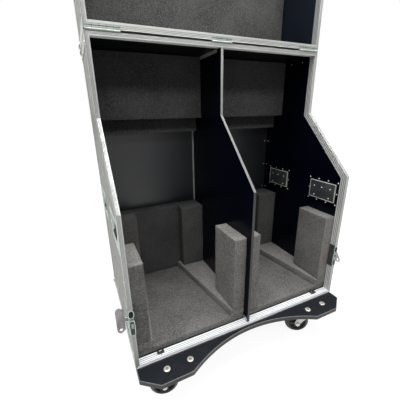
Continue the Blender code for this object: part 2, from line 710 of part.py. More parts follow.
def build_lid_edges(surfaces, axis):
    """Aluminium angle round the lid's front face and back along its four corners, with a ball at each."""
    inset = -RIM_LEG - GAP
    outside = front_path(inset, BOTTOM_OUTER, TOP_OUTER)
    outside += [(LID_FRONT_OUTER, TOP_OUTER), (LID_FRONT_OUTER, BOTTOM_OUTER)]
    inside = front_path(inset + 0.01, BOTTOM_PLY - GAP, TOP_PLY + GAP)
    inside += [(LID_FRONT_PLY - GAP, TOP_PLY + GAP), (LID_FRONT_PLY - GAP, BOTTOM_PLY - GAP)]
    reach = HALF_OUTER - EDGE_WIDTH
    front, low, high = LID_FRONT_OUTER + EDGE_WIDTH, BOTTOM_OUTER + EDGE_WIDTH, TOP_OUTER - EDGE_WIDTH
    cuts = [
        prism(inside, 0, -HALF_PLY - GAP, HALF_PLY + GAP),
        box((-1, front, low), (1, 1, high)),
        box((-reach, -1, low), (reach, 1, high)),
        box((-reach, front, -1), (reach, 1, 2)),
    ]
    shapes = [prism(outside, 0, -HALF_OUTER, HALF_OUTER)] + corner_balls(LID_FRONT_OUTER + BALL_INSET)
    solid("lid_edge_frame", surfaces["aluminium"], shapes, cuts, parent=axis)


def build_lid_foam(surfaces, axis):
    back, top = LID_FRONT_INNER + GAP, TOP_OUTER - HINGE_RAIL - GAP
    low = FLOOR + 2 * GAP + INNER_LEG
    stepped = [
        (back, low),
        (LID_FOAM_THIN, low),
        (LID_FOAM_THIN, LID_FOAM_STEP),
        (LID_FOAM_FACE, LID_FOAM_STEP),
        (LID_FOAM_FACE, top),
        (back, top),
    ]
    half = HALF_INNER - LID_FOAM_SIDE_GAP
    solid("lid_foam", surfaces["foam"], [prism(stepped, 0, -half, half)], parent=axis)


def build_lid_hardware(surfaces, axis):
    for word, side in SIDES.items():
        striker = side_box(side, (HALF_INNER, HALF_INNER + 0.009), (-0.0505, -0.040), (LATCH_Z - 0.02, LATCH_Z + 0.02))
        latch_pocket(side, -0.0012, -LATCH_DEPTH, surfaces, f"{word}_latch_keeper", axis, [striker])
    for word, (centre, length) in HINGES.items():
        bore = rod(0, (UPPER_FRONT, HINGE_Z), PIN_RADIUS + 0.0003, centre - length, centre + length, 12)
        shapes = [hinge_leaf(centre, length, -1)] + hinge_knuckles(centre, length, -1)
        solid(f"{word}_hinge_leaf", surfaces["zinc"], shapes, [bore], parent=axis)


def build_lid(surfaces):
    axis = axis_empty("lid_hinge_axis", (0, UPPER_FRONT, HINGE_Z))
    build_lid_panels(surfaces, axis)
    build_lid_rim(surfaces, axis)
    build_lid_edges(surfaces, axis)
    build_lid_foam(surfaces, axis)
    build_lid_hardware(surfaces, axis)
    axis.rotation_euler.x = radians(LID_OPEN)


def stand_on_ground():
    """Moves the whole case so that the origin is mid-footprint, on the ground."""
    for item in bpy.data.objects:
        if item.parent is None:
            item.location += Vector((0, -FOOTPRINT_MIDDLE, -GROUND))


def main():
    for item in list(bpy.data.objects):
        bpy.data.objects.remove(item, do_unlink=True)
    surfaces = make_materials()
    build_panels(surfaces)
    build_divider(surfaces)
    build_front_rim(surfaces)
    build_edge_frame(surfaces)
    build_foam(surfaces)
    build_handles(surfaces)
    build_latches(surfaces)
    build_running_gear(surfaces)
    build_lid(surfaces)
    stand_on_ground()


main()
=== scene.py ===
"""Looks of the wheeled flight case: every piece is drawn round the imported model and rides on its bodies.

Pieces are drawn in the case's own frame, in metres: x across from the middle, y back from the lower front
rim and z up from the inner floor. The lid's pieces are drawn shut and then turned open about the hinge.
"""

import json
from math import atan2, cos, pi, radians, sin, tan

import bmesh
import bpy
from mathutils import Matrix, Vector, noise

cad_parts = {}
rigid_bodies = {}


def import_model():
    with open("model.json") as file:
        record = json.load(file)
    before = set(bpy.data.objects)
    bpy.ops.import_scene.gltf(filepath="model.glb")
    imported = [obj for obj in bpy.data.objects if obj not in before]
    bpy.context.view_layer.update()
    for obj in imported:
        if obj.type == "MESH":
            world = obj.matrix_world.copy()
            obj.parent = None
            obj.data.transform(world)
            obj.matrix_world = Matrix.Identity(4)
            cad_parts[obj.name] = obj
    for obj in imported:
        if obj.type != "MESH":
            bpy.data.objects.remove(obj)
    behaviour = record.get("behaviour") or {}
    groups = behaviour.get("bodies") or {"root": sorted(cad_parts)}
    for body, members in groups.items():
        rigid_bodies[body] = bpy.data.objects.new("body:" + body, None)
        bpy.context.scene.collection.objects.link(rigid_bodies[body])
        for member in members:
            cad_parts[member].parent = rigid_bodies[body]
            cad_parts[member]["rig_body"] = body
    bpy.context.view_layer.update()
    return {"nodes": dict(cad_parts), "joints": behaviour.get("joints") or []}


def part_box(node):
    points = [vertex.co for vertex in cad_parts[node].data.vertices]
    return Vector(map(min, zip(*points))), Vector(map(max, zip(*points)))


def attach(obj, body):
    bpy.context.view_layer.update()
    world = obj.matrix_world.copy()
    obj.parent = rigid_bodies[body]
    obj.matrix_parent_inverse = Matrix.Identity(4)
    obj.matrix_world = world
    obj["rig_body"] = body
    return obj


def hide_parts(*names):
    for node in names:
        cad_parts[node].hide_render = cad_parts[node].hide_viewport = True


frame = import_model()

CASE = Vector((0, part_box("front_rim")[0].y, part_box("bottom_panel")[1].z))
HINGE = Vector(next(joint["pos_m"] for joint in frame["joints"] if joint["name"] == "lid_hinge")) - CASE
OPEN_LID = Matrix.Translation(HINGE) @ Matrix.Rotation(pi, 4, "X") @ Matrix.Translation(-HINGE)
SIDES = {"left": -1, "right": 1}
NEAR = 0.001            # corners closer than this lie on the same face


def case_box(node):
    """A node's lowest and highest corners in the case's own frame."""
    low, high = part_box(node)
    return low - CASE, high - CASE


def case_corners(node):
    """A node's mesh corners in the case's own frame."""
    return [vertex.co - CASE for vertex in frame["nodes"][node].data.vertices]


def mouth_points():
    """Where the divider's front edge starts to slope, and where the slope ends."""
    corners = case_corners("divider_panel")
    front = min(corner.y for corner in corners)
    top = max(corner.z for corner in corners)
    back = min(corner.y for corner in corners if corner.z > top - NEAR)
    lower = max(corner.z for corner in corners if corner.y < front + NEAR)
    upper = min(corner.z for corner in corners if abs(corner.y - back) < NEAR)
    return lower, back - front, upper


GAP = 0.0003            # what is left between pieces that touch
SHEET = 0.0017          # thickness of the aluminium sections
INNER_LEG = 0.0009      # thickness of the rim's leg inside the case
RIM_CAP = 0.0022        # depth of the rim's front
RIM_LEG = 0.026         # how far the rim's legs reach back
EDGE = 0.030            # leg of the edge angles
HINGE_RAIL = 0.019      # face of the lid's rail along the hinges
side_low, side_high = case_box("right_side_panel")
HALF_INNER = side_low.x
HALF_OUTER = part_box("front_rim")[1].x
BOTTOM_OUTER = case_box("front_rim")[0].z
SKIN = side_low.z - BOTTOM_OUTER
TOP_OUTER, REAR_OUTER = side_high.z + SKIN, side_high.y + SKIN
CEILING = case_box("top_panel")[0].z
REAR_INNER = case_box("back_panel")[0].y
SLOPE_LOW, UPPER_FRONT, SLOPE_HIGH = mouth_points()
LID_FRONT_OUTER = 2 * HINGE.y - case_box("lid_front_panel")[1].y - SKIN
LID_BACK = -0.0006      # the lid's rim line, a hair in front of the body's
RIVET_PITCH = 0.128
DOWN, UP, FORWARD, BACK = Vector((0, 0, -1)), Vector((0, 0, 1)), Vector((0, -1, 0)), Vector((0, 1, 0))
RIDGED, PLATED, FOAM, RUBBER = "ridged_aluminium", "zinc_plated_steel", "black_foam", "black_rubber"


# Materials

class Surface:
    """A node material in its object's own coordinates, with helpers for grain, wear and relief."""

    def __init__(self, name, roughness, metallic=0.0, gloss=0.5):
        self.material = bpy.data.materials.new(name)
        self.material.use_nodes = True
        self.tree = self.material.node_tree
        self.shader = self.tree.nodes["Principled BSDF"]
        self.shader.inputs["Base Color"].default_value = (0.5, 0.5, 0.5, 1)
        self.shader.inputs["Metallic"].default_value = metallic
        self.shader.inputs["Roughness"].default_value = roughness
        self.shader.inputs["Specular IOR Level"].default_value = gloss
        self.place = self.tree.nodes.new("ShaderNodeTexCoord").outputs["Object"]

    def add(self, kind, numbers, source, socket="Vector"):
        """A new node with its numbers set and one socket linked to a source."""
        node = self.tree.nodes.new(f"ShaderNode{kind}")
        for name, number in numbers.items():
            node.inputs[name].default_value = number
        self.tree.links.new(source, node.inputs[socket])
        return node

    def noise(self, scale, detail=2.0, stretch=None, roughness=0.5):
        place = self.place
        if stretch:
            place = self.add("Mapping", {"Scale": stretch}, place).outputs["Vector"]
        numbers = {"Scale": scale, "Detail": detail, "Roughness": roughness}
        return self.add("TexNoise", numbers, place).outputs["Fac"]

    def cells(self, scale):
        return self.add("TexVoronoi", {"Scale": scale}, self.place).outputs["Distance"]

    def spread(self, value, low, high, start=0.35, end=0.65):
        """Turns the part of a value between start and end into a number from low to high."""
        numbers = {"From Min": start, "From Max": end, "To Min": low, "To Max": high}
        return self.add("MapRange", numbers, value, "Value").outputs["Result"]

    def blend(self, factor, first, second):
        """A mix of two colours, each a tuple or the output of another node."""
        node = self.tree.nodes.new("ShaderNodeMix")
        node.data_type = "RGBA"
        self.tree.links.new(factor, node.inputs[0])
        for socket, value in ((node.inputs[6], first), (node.inputs[7], second)):
            if isinstance(value, tuple):
                socket.default_value = (*value, 1)
            else:
                self.tree.links.new(value, socket)
        return node.outputs[2]

    def paint(self, color):
        self.tree.links.new(color, self.shader.inputs["Base Color"])

    def polish(self, value):
        self.tree.links.new(value, self.shader.inputs["Roughness"])

    def relief(self, height, depth):
        """Bumps of the given depth in metres, on top of any relief that is there."""
        node = self.add("Bump", {"Distance": depth}, height, "Height")
        normal = self.shader.inputs["Normal"]
        if normal.is_linked:
            self.tree.links.new(normal.links[0].from_socket, node.inputs["Normal"])
        self.tree.links.new(node.outputs["Normal"], normal)


def scaled(color, share):
    return tuple(share * part for part in color)


def foam(name, dark, light):
    """Closed-cell foam: cut cells a few millimetres across, mottled, and quite matt."""
    surface = Surface(name, 0.95, gloss=0.25)
    cells = surface.cells(330)
    grain = surface.noise(420, 3)
    mottle = surface.blend(surface.spread(surface.noise(210, 2), 0, 1, 0.38, 0.62), dark, light)
    shade = surface.blend(surface.spread(grain, 0, 0.75, 0.44, 0.62), mottle, scaled(dark, 0.30))
    patchy = surface.spread(surface.noise(9, 2), 0, 0.30, 0.35, 0.7)
    surface.paint(surface.blend(patchy, shade, scaled(light, 1.15)))
    surface.relief(cells, 0.0014)
    surface.relief(grain, 0.0010)
    return surface.material


def laminate(name, color, worn, roughness, relief, gloss=0.5):
    """Panel facing with a fine pressed texture, faint scuffs and a little dirt."""
    surface = Surface(name, roughness, gloss=gloss)
    scuffs = surface.spread(surface.noise(26, 5, (1, 1, 0.16), 0.62), 0, 1, 0.56, 0.76)
    clouds = surface.spread(surface.noise(3.2, 3), 0, 0.45, 0.35, 0.7)
    surface.paint(surface.blend(clouds, surface.blend(scuffs, color, worn), worn))
    surface.polish(surface.spread(surface.noise(40, 4), roughness - 0.06, roughness + 0.10))
    surface.relief(surface.cells(900), relief)
    surface.relief(surface.noise(14, 2), relief * 2)
    return surface.material


def smooth_laminate(name, color, roughness, gloss):
    """Dark inner facing: quite even, with a faint drift in its colour and polish and a very fine grain."""
    surface = Surface(name, roughness, gloss=gloss)
    surface.paint(surface.blend(surface.spread(surface.noise(5, 3), 0, 1), color, scaled(color, 1.6)))
    surface.polish(surface.spread(surface.noise(3, 2), roughness - 0.03, roughness + 0.05))
    surface.relief(surface.noise(1400, 1), 0.00001)
    return surface.material


def metal(name, dark, light, roughness, stretch=None, metallic=1.0, grain=220):
    """Bare or plated metal with drawn or cloudy tone, fine handling marks and uneven polish."""
    surface = Surface(name, roughness, metallic)
    clouds = surface.spread(surface.noise(30, 4, stretch), 0, 1, 0.35, 0.68)
    marks = surface.spread(surface.noise(grain, 4, stretch, 0.7), 0, 0.35, 0.5, 0.8)
    surface.paint(surface.blend(marks, surface.blend(clouds, light, dark), scaled(dark, 0.6)))
    surface.polish(surface.spread(surface.noise(60, 4, stretch), roughness - 0.07, roughness + 0.13))
    surface.relief(surface.noise(grain * 2, 2, stretch), 0.00005)
    return surface.material


def moulded(name, color, dusty, roughness):
    """Rubber or plastic with a moulded grain and dust in it."""
    surface = Surface(name, roughness)
    dust = surface.spread(surface.noise(55, 5, roughness=0.65), 0, 0.8, 0.5, 0.72)
    surface.paint(surface.blend(dust, color, dusty))
    surface.polish(surface.spread(surface.noise(110, 3), roughness - 0.08, roughness + 0.12))
    surface.relief(surface.noise(700, 2), 0.0002)
    return surface.material


# One black foam in copies of different brightness: the rear-block, floor and block copies are lighter than
# the lining, painted light where more light falls.
LINING_FOAM = foam("lining_foam", (0.048, 0.048, 0.0475), (0.108, 0.107, 0.106))
REAR_FOAM = foam("rear_block_foam", (0.058, 0.058, 0.057), (0.132, 0.130, 0.127))
FLOOR_FOAM = foam("floor_foam", (0.092, 0.090, 0.087), (0.196, 0.191, 0.183))
LID_FOAM = foam("lid_foam", (0.052, 0.051, 0.050), (0.114, 0.113, 0.110))
BLOCK_FOAM = foam("block_foam", (0.148, 0.144, 0.136), (0.300, 0.292, 0.276))
# A darker copy of the block foam, painted shade.
SHADED_FOAM = foam("shaded_block_foam", (0.112, 0.109, 0.104), (0.228, 0.223, 0.212))
# A lighter copy of the foam for the blocks' fronts, painted light.
LIT_FRONT_FOAM = foam("lit_front_block_foam", (0.185, 0.176, 0.162), (0.330, 0.314, 0.290))
OUTER = laminate("grey_laminate", (0.285, 0.29, 0.262), (0.225, 0.228, 0.200), 0.45, 0.00012, 0.3)
INNER = smooth_laminate("night_laminate", (0.0032, 0.0042, 0.0060), 0.40, 0.78)
WALL = smooth_laminate("night_wall_laminate", (0.0004, 0.0009, 0.0036), 0.30, 0.14)
LID_WALL = smooth_laminate("night_lid_laminate", (0.0028, 0.0048, 0.0095), 0.36, 0.30)
PLY_EDGE = laminate("sealed_edge", (0.028, 0.026, 0.024), (0.05, 0.045, 0.04), 0.6, 0.0002)
DIVIDER_EDGE = laminate("divider_edge", (0.20, 0.20, 0.195), (0.15, 0.15, 0.145), 0.4, 0.0001)
# A darker edging for the divider's front below the slope's foot.
LOWER_DIVIDER_EDGE = laminate("lower_divider_edge", (0.030, 0.031, 0.033), (0.07, 0.07, 0.07), 0.4, 0.0001)
ALONG_Z, ALONG_X = (1, 1, 0.04), (0.04, 1, 1)
UPRIGHT = metal("drawn_aluminium_upright", (0.40, 0.41, 0.395), (0.56, 0.57, 0.55), 0.44, ALONG_Z, 0.7)
# Darker and lighter copies of the uprights' aluminium for their slopes and their faces towards the bays:
# painted shade and painted light.
SLOPE = metal("shaded_aluminium_slope", (0.31, 0.32, 0.315), (0.43, 0.44, 0.43), 0.50, ALONG_Z, 0.5)
LIT_INNER_FACE = metal("lit_aluminium_inner_face", (0.63, 0.64, 0.62), (0.78, 0.79, 0.77), 0.44, ALONG_Z, 0.4)
# Dark aluminium for the floors of the slopes' grooves, painted shade in them.
SLOPE_GROOVE = metal("shaded_slope_groove", (0.05, 0.052, 0.055), (0.08, 0.083, 0.086), 0.55, ALONG_Z, 0.4)
RAIL = metal("drawn_aluminium_rail", (0.56, 0.57, 0.54), (0.70, 0.71, 0.68), 0.42, ALONG_X, 0.60, 90)
# A near-white, barely metallic copy of the aluminium for the bottom rails and the rear channels, painted
# highlight standing for their bright reflections.
SHEEN_ALUMINIUM = metal("painted_sheen_aluminium", (0.86, 0.89, 0.91), (0.95, 0.97, 0.98), 0.42, ALONG_X, 0.22, 90)
# Dark aluminium for the floors of grooves, painted shade in them.
GROOVE = metal("shaded_aluminium_groove", (0.13, 0.135, 0.14), (0.20, 0.205, 0.21), 0.5, (0.2, 0.2, 0.2), 0.7)
ZINC = metal("plated_steel", (0.36, 0.37, 0.35), (0.52, 0.53, 0.50), 0.34)
LATCH_ZINC = metal("green_plated_steel", (0.33, 0.39, 0.36), (0.52, 0.585, 0.545), 0.34, metallic=0.75)
HINGE_ZINC = metal("pale_plated_steel", (0.34, 0.375, 0.345), (0.47, 0.505, 0.47), 0.52, metallic=0.5)
WING = metal("satin_latch_wing", (0.27, 0.245, 0.265), (0.37, 0.345, 0.36), 0.50, metallic=0.35)
# Near-black and dark green stand-ins for shade in hollows, seams and sockets.
HOLLOW_SHADE = moulded("shadowed_hollow", (0.0015, 0.0016, 0.0018), (0.004, 0.004, 0.004), 0.9)
SLOT_SHADE = moulded("shaded_green_slot", (0.020, 0.034, 0.030), (0.05, 0.065, 0.06), 0.5)
# A darker copy of the plating for the dishes' backs and the latches' back plates inside the case, painted
# shade.
SHADED_ZINC = metal("shaded_plated_steel", (0.028, 0.034, 0.036), (0.055, 0.064, 0.066), 0.50, metallic=0.3)
LIP_ZINC = metal("sheared_plated_edge", (0.52, 0.50, 0.43), (0.74, 0.72, 0.64), 0.45, metallic=0.25)
BRIGHT = metal("bright_steel", (0.56, 0.55, 0.51), (0.78, 0.77, 0.73), 0.28, metallic=0.7)
TAIL_STEEL = metal("rivet_tail_steel", (0.60, 0.59, 0.55), (0.85, 0.84, 0.80), 0.35, metallic=0.3)
BOLT = metal("domed_bolt_steel", (0.40, 0.37, 0.33), (0.62, 0.59, 0.54), 0.42, metallic=0.5)
BOARD = laminate("black_board", (0.0060, 0.0080, 0.0105), (0.014, 0.016, 0.019), 0.45, 0.00010, 0.06)
BOARD_EDGE = laminate("painted_board_edge", (0.042, 0.044, 0.043), (0.080, 0.082, 0.080), 0.5, 0.0003, 0.3)
# A lighter copy of the edge paint for the board's upper arrises, painted highlight.
LIT_BOARD_ARRIS = laminate("lit_board_arris", (0.105, 0.108, 0.104), (0.16, 0.162, 0.158), 0.5, 0.0002, 0.3)
TYRE = moulded("black_tyre", (0.006, 0.006, 0.007), (0.028, 0.027, 0.025), 0.34)
HUB = moulded("wheel_hub", (0.012, 0.013, 0.014), (0.04, 0.04, 0.038), 0.45)
GRIP = moulded("handle_rubber", (0.010, 0.010, 0.010), (0.030, 0.030, 0.028), 0.55)
CLIP = moulded("black_clip", (0.006, 0.007, 0.008), (0.03, 0.03, 0.03), 0.4)


# Mesh helpers

def add_box(mesh, low, high):
    made = bmesh.ops.create_cube(mesh, size=1.0)["verts"]
    for vertex in made:
        vertex.co = Vector(low[i] + (vertex.co[i] + 0.5) * (high[i] - low[i]) for i in range(3))
    return made


def join(mesh, near, far):
    """Faces between two rings of as many points."""
    pairs = [(i, (i + 1) % len(near)) for i in range(len(near))]
    return [mesh.faces.new((near[i], near[j], far[j], far[i])) for i, j in pairs]


def prism(outline, axis, low, high):
    """The outline's points, given in the two directions across the axis, swept along it."""
    mesh = bmesh.new()
    rings = []
    for level in (low, high):
        ring = []
        for first, second in outline:
            point = [first, second]
            point.insert(axis, level)
            ring.append(mesh.verts.new(point))
        rings.append(ring)
    mesh.faces.new(rings[0])
    mesh.faces.new(rings[1])
    join(mesh, *rings)
    return mesh


def around(axis, radius, angle, height):
    """A place at a radius, an angle and a height round an axis through the origin."""
    place = Vector((radius * cos(angle), radius * sin(angle), height))
    return axis.to_track_quat("Z", "Y").to_matrix() @ place


def turn_profile(mesh, profile, centre, axis, segments=12):
    """A closed solid turned about an axis: profile holds (radius, height) points, and may end on the axis."""
    rings = []
    for radius, height in profile:
        if radius < 1e-6:
            rings.append([mesh.verts.new(centre + axis * height)])
            continue
        angles = [2 * pi * (i + 0.5) / segments for i in range(segments)]
        rings.append([mesh.verts.new(centre + around(axis, radius, angle, height)) for angle in angles])
    for near, far in zip(rings, rings[1:]):
        for i in range(segments):
            j = (i + 1) % segments
            corners = [near[i % len(near)], near[j % len(near)], far[j % len(far)], far[i % len(far)]]
            distinct = list(dict.fromkeys(corners))
            if len(distinct) > 2:
                mesh.faces.new(distinct)
    for ring in (rings[0], rings[-1]):
        if len(ring) > 1:
            mesh.faces.new(ring)


def turn_ring(mesh, profile, centre, axis, segments):
    """A closed ring turned about an axis: profile is a closed loop of (radius, height) points."""
    loops = []
    for i in range(segments):
        angle = 2 * pi * i / segments
        places = [centre + around(axis, radius, angle, height) for radius, height in profile]
        loops.append([mesh.verts.new(place) for place in places])
    for near, far in zip(loops, loops[1:] + loops[:1]):
        join(mesh, near, far)


def round_edges(mesh, width, segments=2, angle=28):
    sharp = [edge for edge in mesh.edges if edge.is_manifold and edge.calc_face_angle() > radians(angle)]
    bmesh.ops.bevel(
        mesh, geom=sharp, offset=width, segments=segments, profile=0.5, affect="EDGES", clamp_overlap=True
    )


def make_piece(name, mesh, body, slot, *surfaces, turned=False, smooth=32, place=CASE):
    """Closes a mesh drawn in the case's frame into a named piece that rides on a body."""
    if turned:
        bmesh.ops.transform(mesh, matrix=OPEN_LID, verts=mesh.verts)
    bmesh.ops.translate(mesh, verts=mesh.verts, vec=place)
    bmesh.ops.recalc_face_normals(mesh, faces=mesh.faces)
    data = bpy.data.meshes.new(name)
    mesh.to_mesh(data)
    mesh.free()
    for surface in surfaces:
        data.materials.append(surface)
    data.shade_smooth()
    data.set_sharp_from_angle(angle=radians(smooth))
    piece = bpy.data.objects.new(name, data)
    bpy.context.scene.collection.objects.link(piece)
    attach(piece, body)
    return piece


def box_piece(name, boxes, *where, **how):
    """A piece of plain boxes, each a (low corner, high corner) pair."""
    mesh = bmesh.new()
    for low, high in boxes:
        add_box(mesh, low, high)
    return make_piece(name, mesh, *where, **how)


def refined(node, slot, surfaces, width=0.0008, choose=None, segments=2, smooth=32):
    """A copy of a CAD node with rounded edges, which stands for it. choose gives each face its surface."""
    mesh = bmesh.new()
    mesh.from_mesh(frame["nodes"][node].data)
    bmesh.ops.remove_doubles(mesh, verts=mesh.verts, dist=1e-5)
    bmesh.ops.dissolve_limit(mesh, angle_limit=radians(0.5), verts=mesh.verts, edges=mesh.edges)
    if width:
        round_edges(mesh, width, segments)
    for face in mesh.faces:
        face.normal_update()
        face.material_index = choose(face) if choose else 0
    body = frame["nodes"][node]["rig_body"]
    piece = make_piece(f"{node}_finish", mesh, body, slot, *surfaces, smooth=smooth, place=Vector())
    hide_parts(node)
    return piece


# Extrusions

def grooves(level, start, end, count, depth):
    """Points down a face at one level, from start to end, with shallow grooves whose floors are marked for a
    dark surface, painted shade.
    """
    pitch = (end - start) / count
    points = []
    for i in range(count):
        near = start + i * pitch
        for share, sunk in ((0.06, 0), (0.66, 0), (0.70, 1), (0.96, 1)):
            points.append((level - sunk * depth, near + share * pitch, sunk))
    return points


def front_grooves(start, end, depth):
    """Three grooves in the front of a rim."""
    return [(along, level, sunk) for level, along, sunk in grooves(0, start, end, 3, -depth)]


def rim_profile(outer, whole=True):
    """A U section, or its inner leg alone: a runs out from the panel's inner face, b back from the rim."""
    inner = -GAP - INNER_LEG
    profile = [(inner, 0.0007), (inner + 0.0006, 0)]
    if whole:
        profile += front_grooves(0.0014, outer - 0.0010, 0.0010)
        profile += [(outer - 0.0006, 0), (outer, 0.0007)]
        profile += grooves(outer, 0.002, RIM_LEG - 0.001, 5, 0.0005)
        profile += [(outer - 0.0002, RIM_LEG), (outer - SHEET, RIM_LEG)]
        profile += [(outer - SHEET, RIM_CAP), (-GAP, RIM_CAP), (-GAP, RIM_LEG), (inner + 0.0002, RIM_LEG)]
    else:
        profile += [(-GAP, 0), (-GAP, RIM_LEG), (inner + 0.0002, RIM_LEG)]
    profile += grooves(inner, RIM_LEG - 0.001, 0.003, 3, -0.0006)
    return profile


def angle_profile():
    """An L section: a runs inwards from the corner along one leg as negative numbers, b along the other."""
    profile = [(0, 0.0008)] + grooves(0, 0.003, EDGE - 0.001, 6, 0.0005)
    profile += [(-0.0003, EDGE), (-SHEET, EDGE), (-SHEET, SHEET), (-EDGE, SHEET), (-EDGE, 0.0003)]
    profile += [(-along, level, sunk) for level, along, sunk in grooves(0, EDGE - 0.001, 0.003, 6, -0.0005)]
    return profile + [(-0.0008, 0)]


def sweep(profile, path, across, inwards, trim=None, ends=(True, True), mesh=None):
    """A closed profile of (a, b) points along a polyline, mitred at bends. trim slopes the chosen ends."""
    if mesh is None:
        mesh = bmesh.new()
    rings = []
    last = len(path) - 1
    for i, point in enumerate(path):
        before = (point - path[i - 1]).normalized() if i else None
        after = (path[i + 1] - point).normalized() if i < last else None
        along = ((before or after) + (after or before)).normalized()
        square = along.cross(across).normalized()
        if square.dot(inwards) < 0:
            square = -square
        stretch = 1 / along.dot(after or before)
        ring = []
        for a, b, *_ in profile:
            shift = 0
            if trim and i == 0 and ends[0]:
                shift = trim(a, b)
            if trim and i == last and ends[1]:
                shift = -trim(a, b)
            ring.append(mesh.verts.new(point + across * a + square * (b * stretch) + along * shift))
        rings.append(ring)
    # Faces between two marked points take the second surface, the groove floors painted dark as shade.
    marked = [len(point) == 3 and point[2] == 1 for point in profile]
    for near, far in zip(rings, rings[1:]):
        for face, first, second in zip(join(mesh, near, far), marked, marked[1:] + marked[:1]):
            face.material_index = 1 if first and second else 0
    mesh.faces.new(rings[0])
    mesh.faces.new(rings[-1])
    return mesh


def rim_path(side, y):
    """The rim line up one side, at the inner face of its panel."""
    x = side * HALF_INNER
    half_turn = tan(atan2(UPPER_FRONT, SLOPE_HIGH - SLOPE_LOW) / 2)
    points = [(y, BOTTOM_OUTER), (y, SLOPE_LOW - half_turn * y)]
    points += [(UPPER_FRONT + y, SLOPE_HIGH - half_turn * y), (UPPER_FRONT + y, TOP_OUTER)]
    return [Vector((x, *point)) for point in points]


def line_across(y, z):
    """A line from one side of the case to the other."""
    return [Vector((-HALF_OUTER, y, z)), Vector((HALF_OUTER, y, z))]


def mark_upright(mesh, side):
    """Gives the slope of an upright a darker copy of the aluminium, painted shade, and its face towards the
    bays a lighter copy, painted light.
    """
    bmesh.ops.recalc_face_normals(mesh, faces=mesh.faces)
    for face in mesh.faces:
        if face.normal.z > 0.4 and face.normal.y < -0.4:
            face.material_index += 2
        elif face.normal.x * side < -0.9 and face.material_index == 0:
            face.material_index = 4


def build_rims():
    """Both halves' rims: an upright on each side, and rails at the bottom and the top, mitred at corners."""
    outer = HALF_OUTER - HALF_INNER
    profile = rim_profile(outer)

    def mitre(a, b):
        return outer - a

    def top_mitre(a, b):
        return mitre(a, b) if a > -0.002 else outer

    for turned, y, inwards, body in ((False, 0, BACK, "case"), (True, LID_BACK, FORWARD, "lid")):
        prefix = "lid_rim" if turned else "rim"
        for word, side in SIDES.items():
            path = rim_path(side, y)
            foot, head = [Vector((path[0].x, path[0].y, level)) for level in latch_opening()]
            outwards = Vector((side, 0, 0))
            mesh = sweep(profile, [path[0], foot], outwards, inwards, mitre, (True, False))
            sweep(rim_profile(outer, False), [foot, head], outwards, inwards, mesh=mesh)
            sweep(profile, [head, *path[1:]], outwards, inwards, mitre, (False, True), mesh)
            surfaces = [UPRIGHT, GROOVE]
            if not turned:
                surfaces += [SLOPE, SLOPE_GROOVE, LIT_INNER_FACE]
                mark_upright(mesh, side)
            make_piece(f"{prefix}_upright_{word}", mesh, body, RIDGED, *surfaces, turned=turned)
        mesh = sweep(profile, line_across(y, 0), DOWN, inwards, mitre)
        bottom = make_piece(f"{prefix}_bottom_rail", mesh, body, RIDGED, SHEEN_ALUMINIUM, GROOVE, turned=turned)
        top_profile = hinge_rail_profile(outer) if turned else profile
        mesh = sweep(top_profile, line_across(UPPER_FRONT + y, CEILING), UP, inwards, top_mitre)
        make_piece(f"{prefix}_top_rail", mesh, body, RIDGED, RAIL, GROOVE, turned=turned)
        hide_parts("lid_rim" if turned else "front_rim")


def hinge_rail_profile(outer):
    """The lid's rail along the hinges: the same section with a deep face that reaches down into the lid."""
    low = outer - HINGE_RAIL
    profile = [(low, 0.0008), (low + 0.0006, 0)]
    profile += front_grooves(low + 0.004, outer - 0.002, 0.0006)
    # The rail's outer face, underneath once the lid is open, is marked for the dark groove surface too:
    # painted shade.
    profile += [(outer - 0.0006, 0), (outer, 0.0007), (outer, 0.0015, 1), (outer, RIM_LEG - 0.001, 1)]
    profile += [(outer - 0.0002, RIM_LEG), (outer - SHEET, RIM_LEG), (outer - SHEET, RIM_CAP)]
    return profile + [(-GAP, RIM_CAP), (-GAP, RIM_LEG), (low, RIM_LEG)]


def latch_opening():
    """The heights between which the latches leave the rims only their inner legs."""
    low, high = case_box("left_latch_dish")
    return low.z + 0.010 - GAP, high.z - 0.010 + GAP


def corner_trim(a, b):
    return b - a


def build_edge_angles():
    """Aluminium angle along the outer edges behind the rims, of the body and then of the lid."""
    profile = angle_profile()
    levels = ("bottom", BOTTOM_OUTER, DOWN, 0), ("top", TOP_OUTER, UP, UPPER_FRONT)
    halves = (False, REAR_OUTER, 0, "case"), (True, LID_FRONT_OUTER, LID_BACK, "lid")
    for turned, rear, start, body in halves:
        prefix = "lid_edge" if turned else "edge"
        away, towards = (FORWARD, BACK) if turned else (BACK, FORWARD)
        offset = start + (-RIM_LEG - GAP if turned else RIM_LEG + GAP)
        for word, side in SIDES.items():
            outwards = Vector((side, 0, 0))
            x = side * HALF_OUTER
            upright = [Vector((x, rear, BOTTOM_OUTER)), Vector((x, rear, TOP_OUTER))]
            mesh = sweep(profile, upright, outwards, towards, corner_trim)
            name = f"{prefix}_upright_{word}"
            make_piece(name, mesh, body, RIDGED, UPRIGHT, GROOVE, turned=turned)
            for level, z, normal, front in levels:
                line = [Vector((x, front + offset, z)), Vector((x, rear, z))]
                mesh = sweep(profile, line, outwards, -normal, corner_trim, (False, True))
                make_piece(f"{prefix}_{level}_{word}", mesh, body, RIDGED, RAIL, GROOVE, turned=turned)
        for level, z, normal, front in levels:
            mesh = sweep(profile, line_across(rear, z), normal, towards, corner_trim)
            make_piece(f"{prefix}_{level}_across", mesh, body, RIDGED, RAIL, GROOVE, turned=turned)
            for word, side in SIDES.items():
                corner, outwards = Vector((side * HALF_OUTER, rear, z)), (Vector((side, 0, 0)), away, normal)
                build_ball_corner(f"{prefix}_{level}_{word}_ball_corner", corner, outwards, body, turned)
        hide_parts("lid_edge_frame" if turned else "edge_frame")


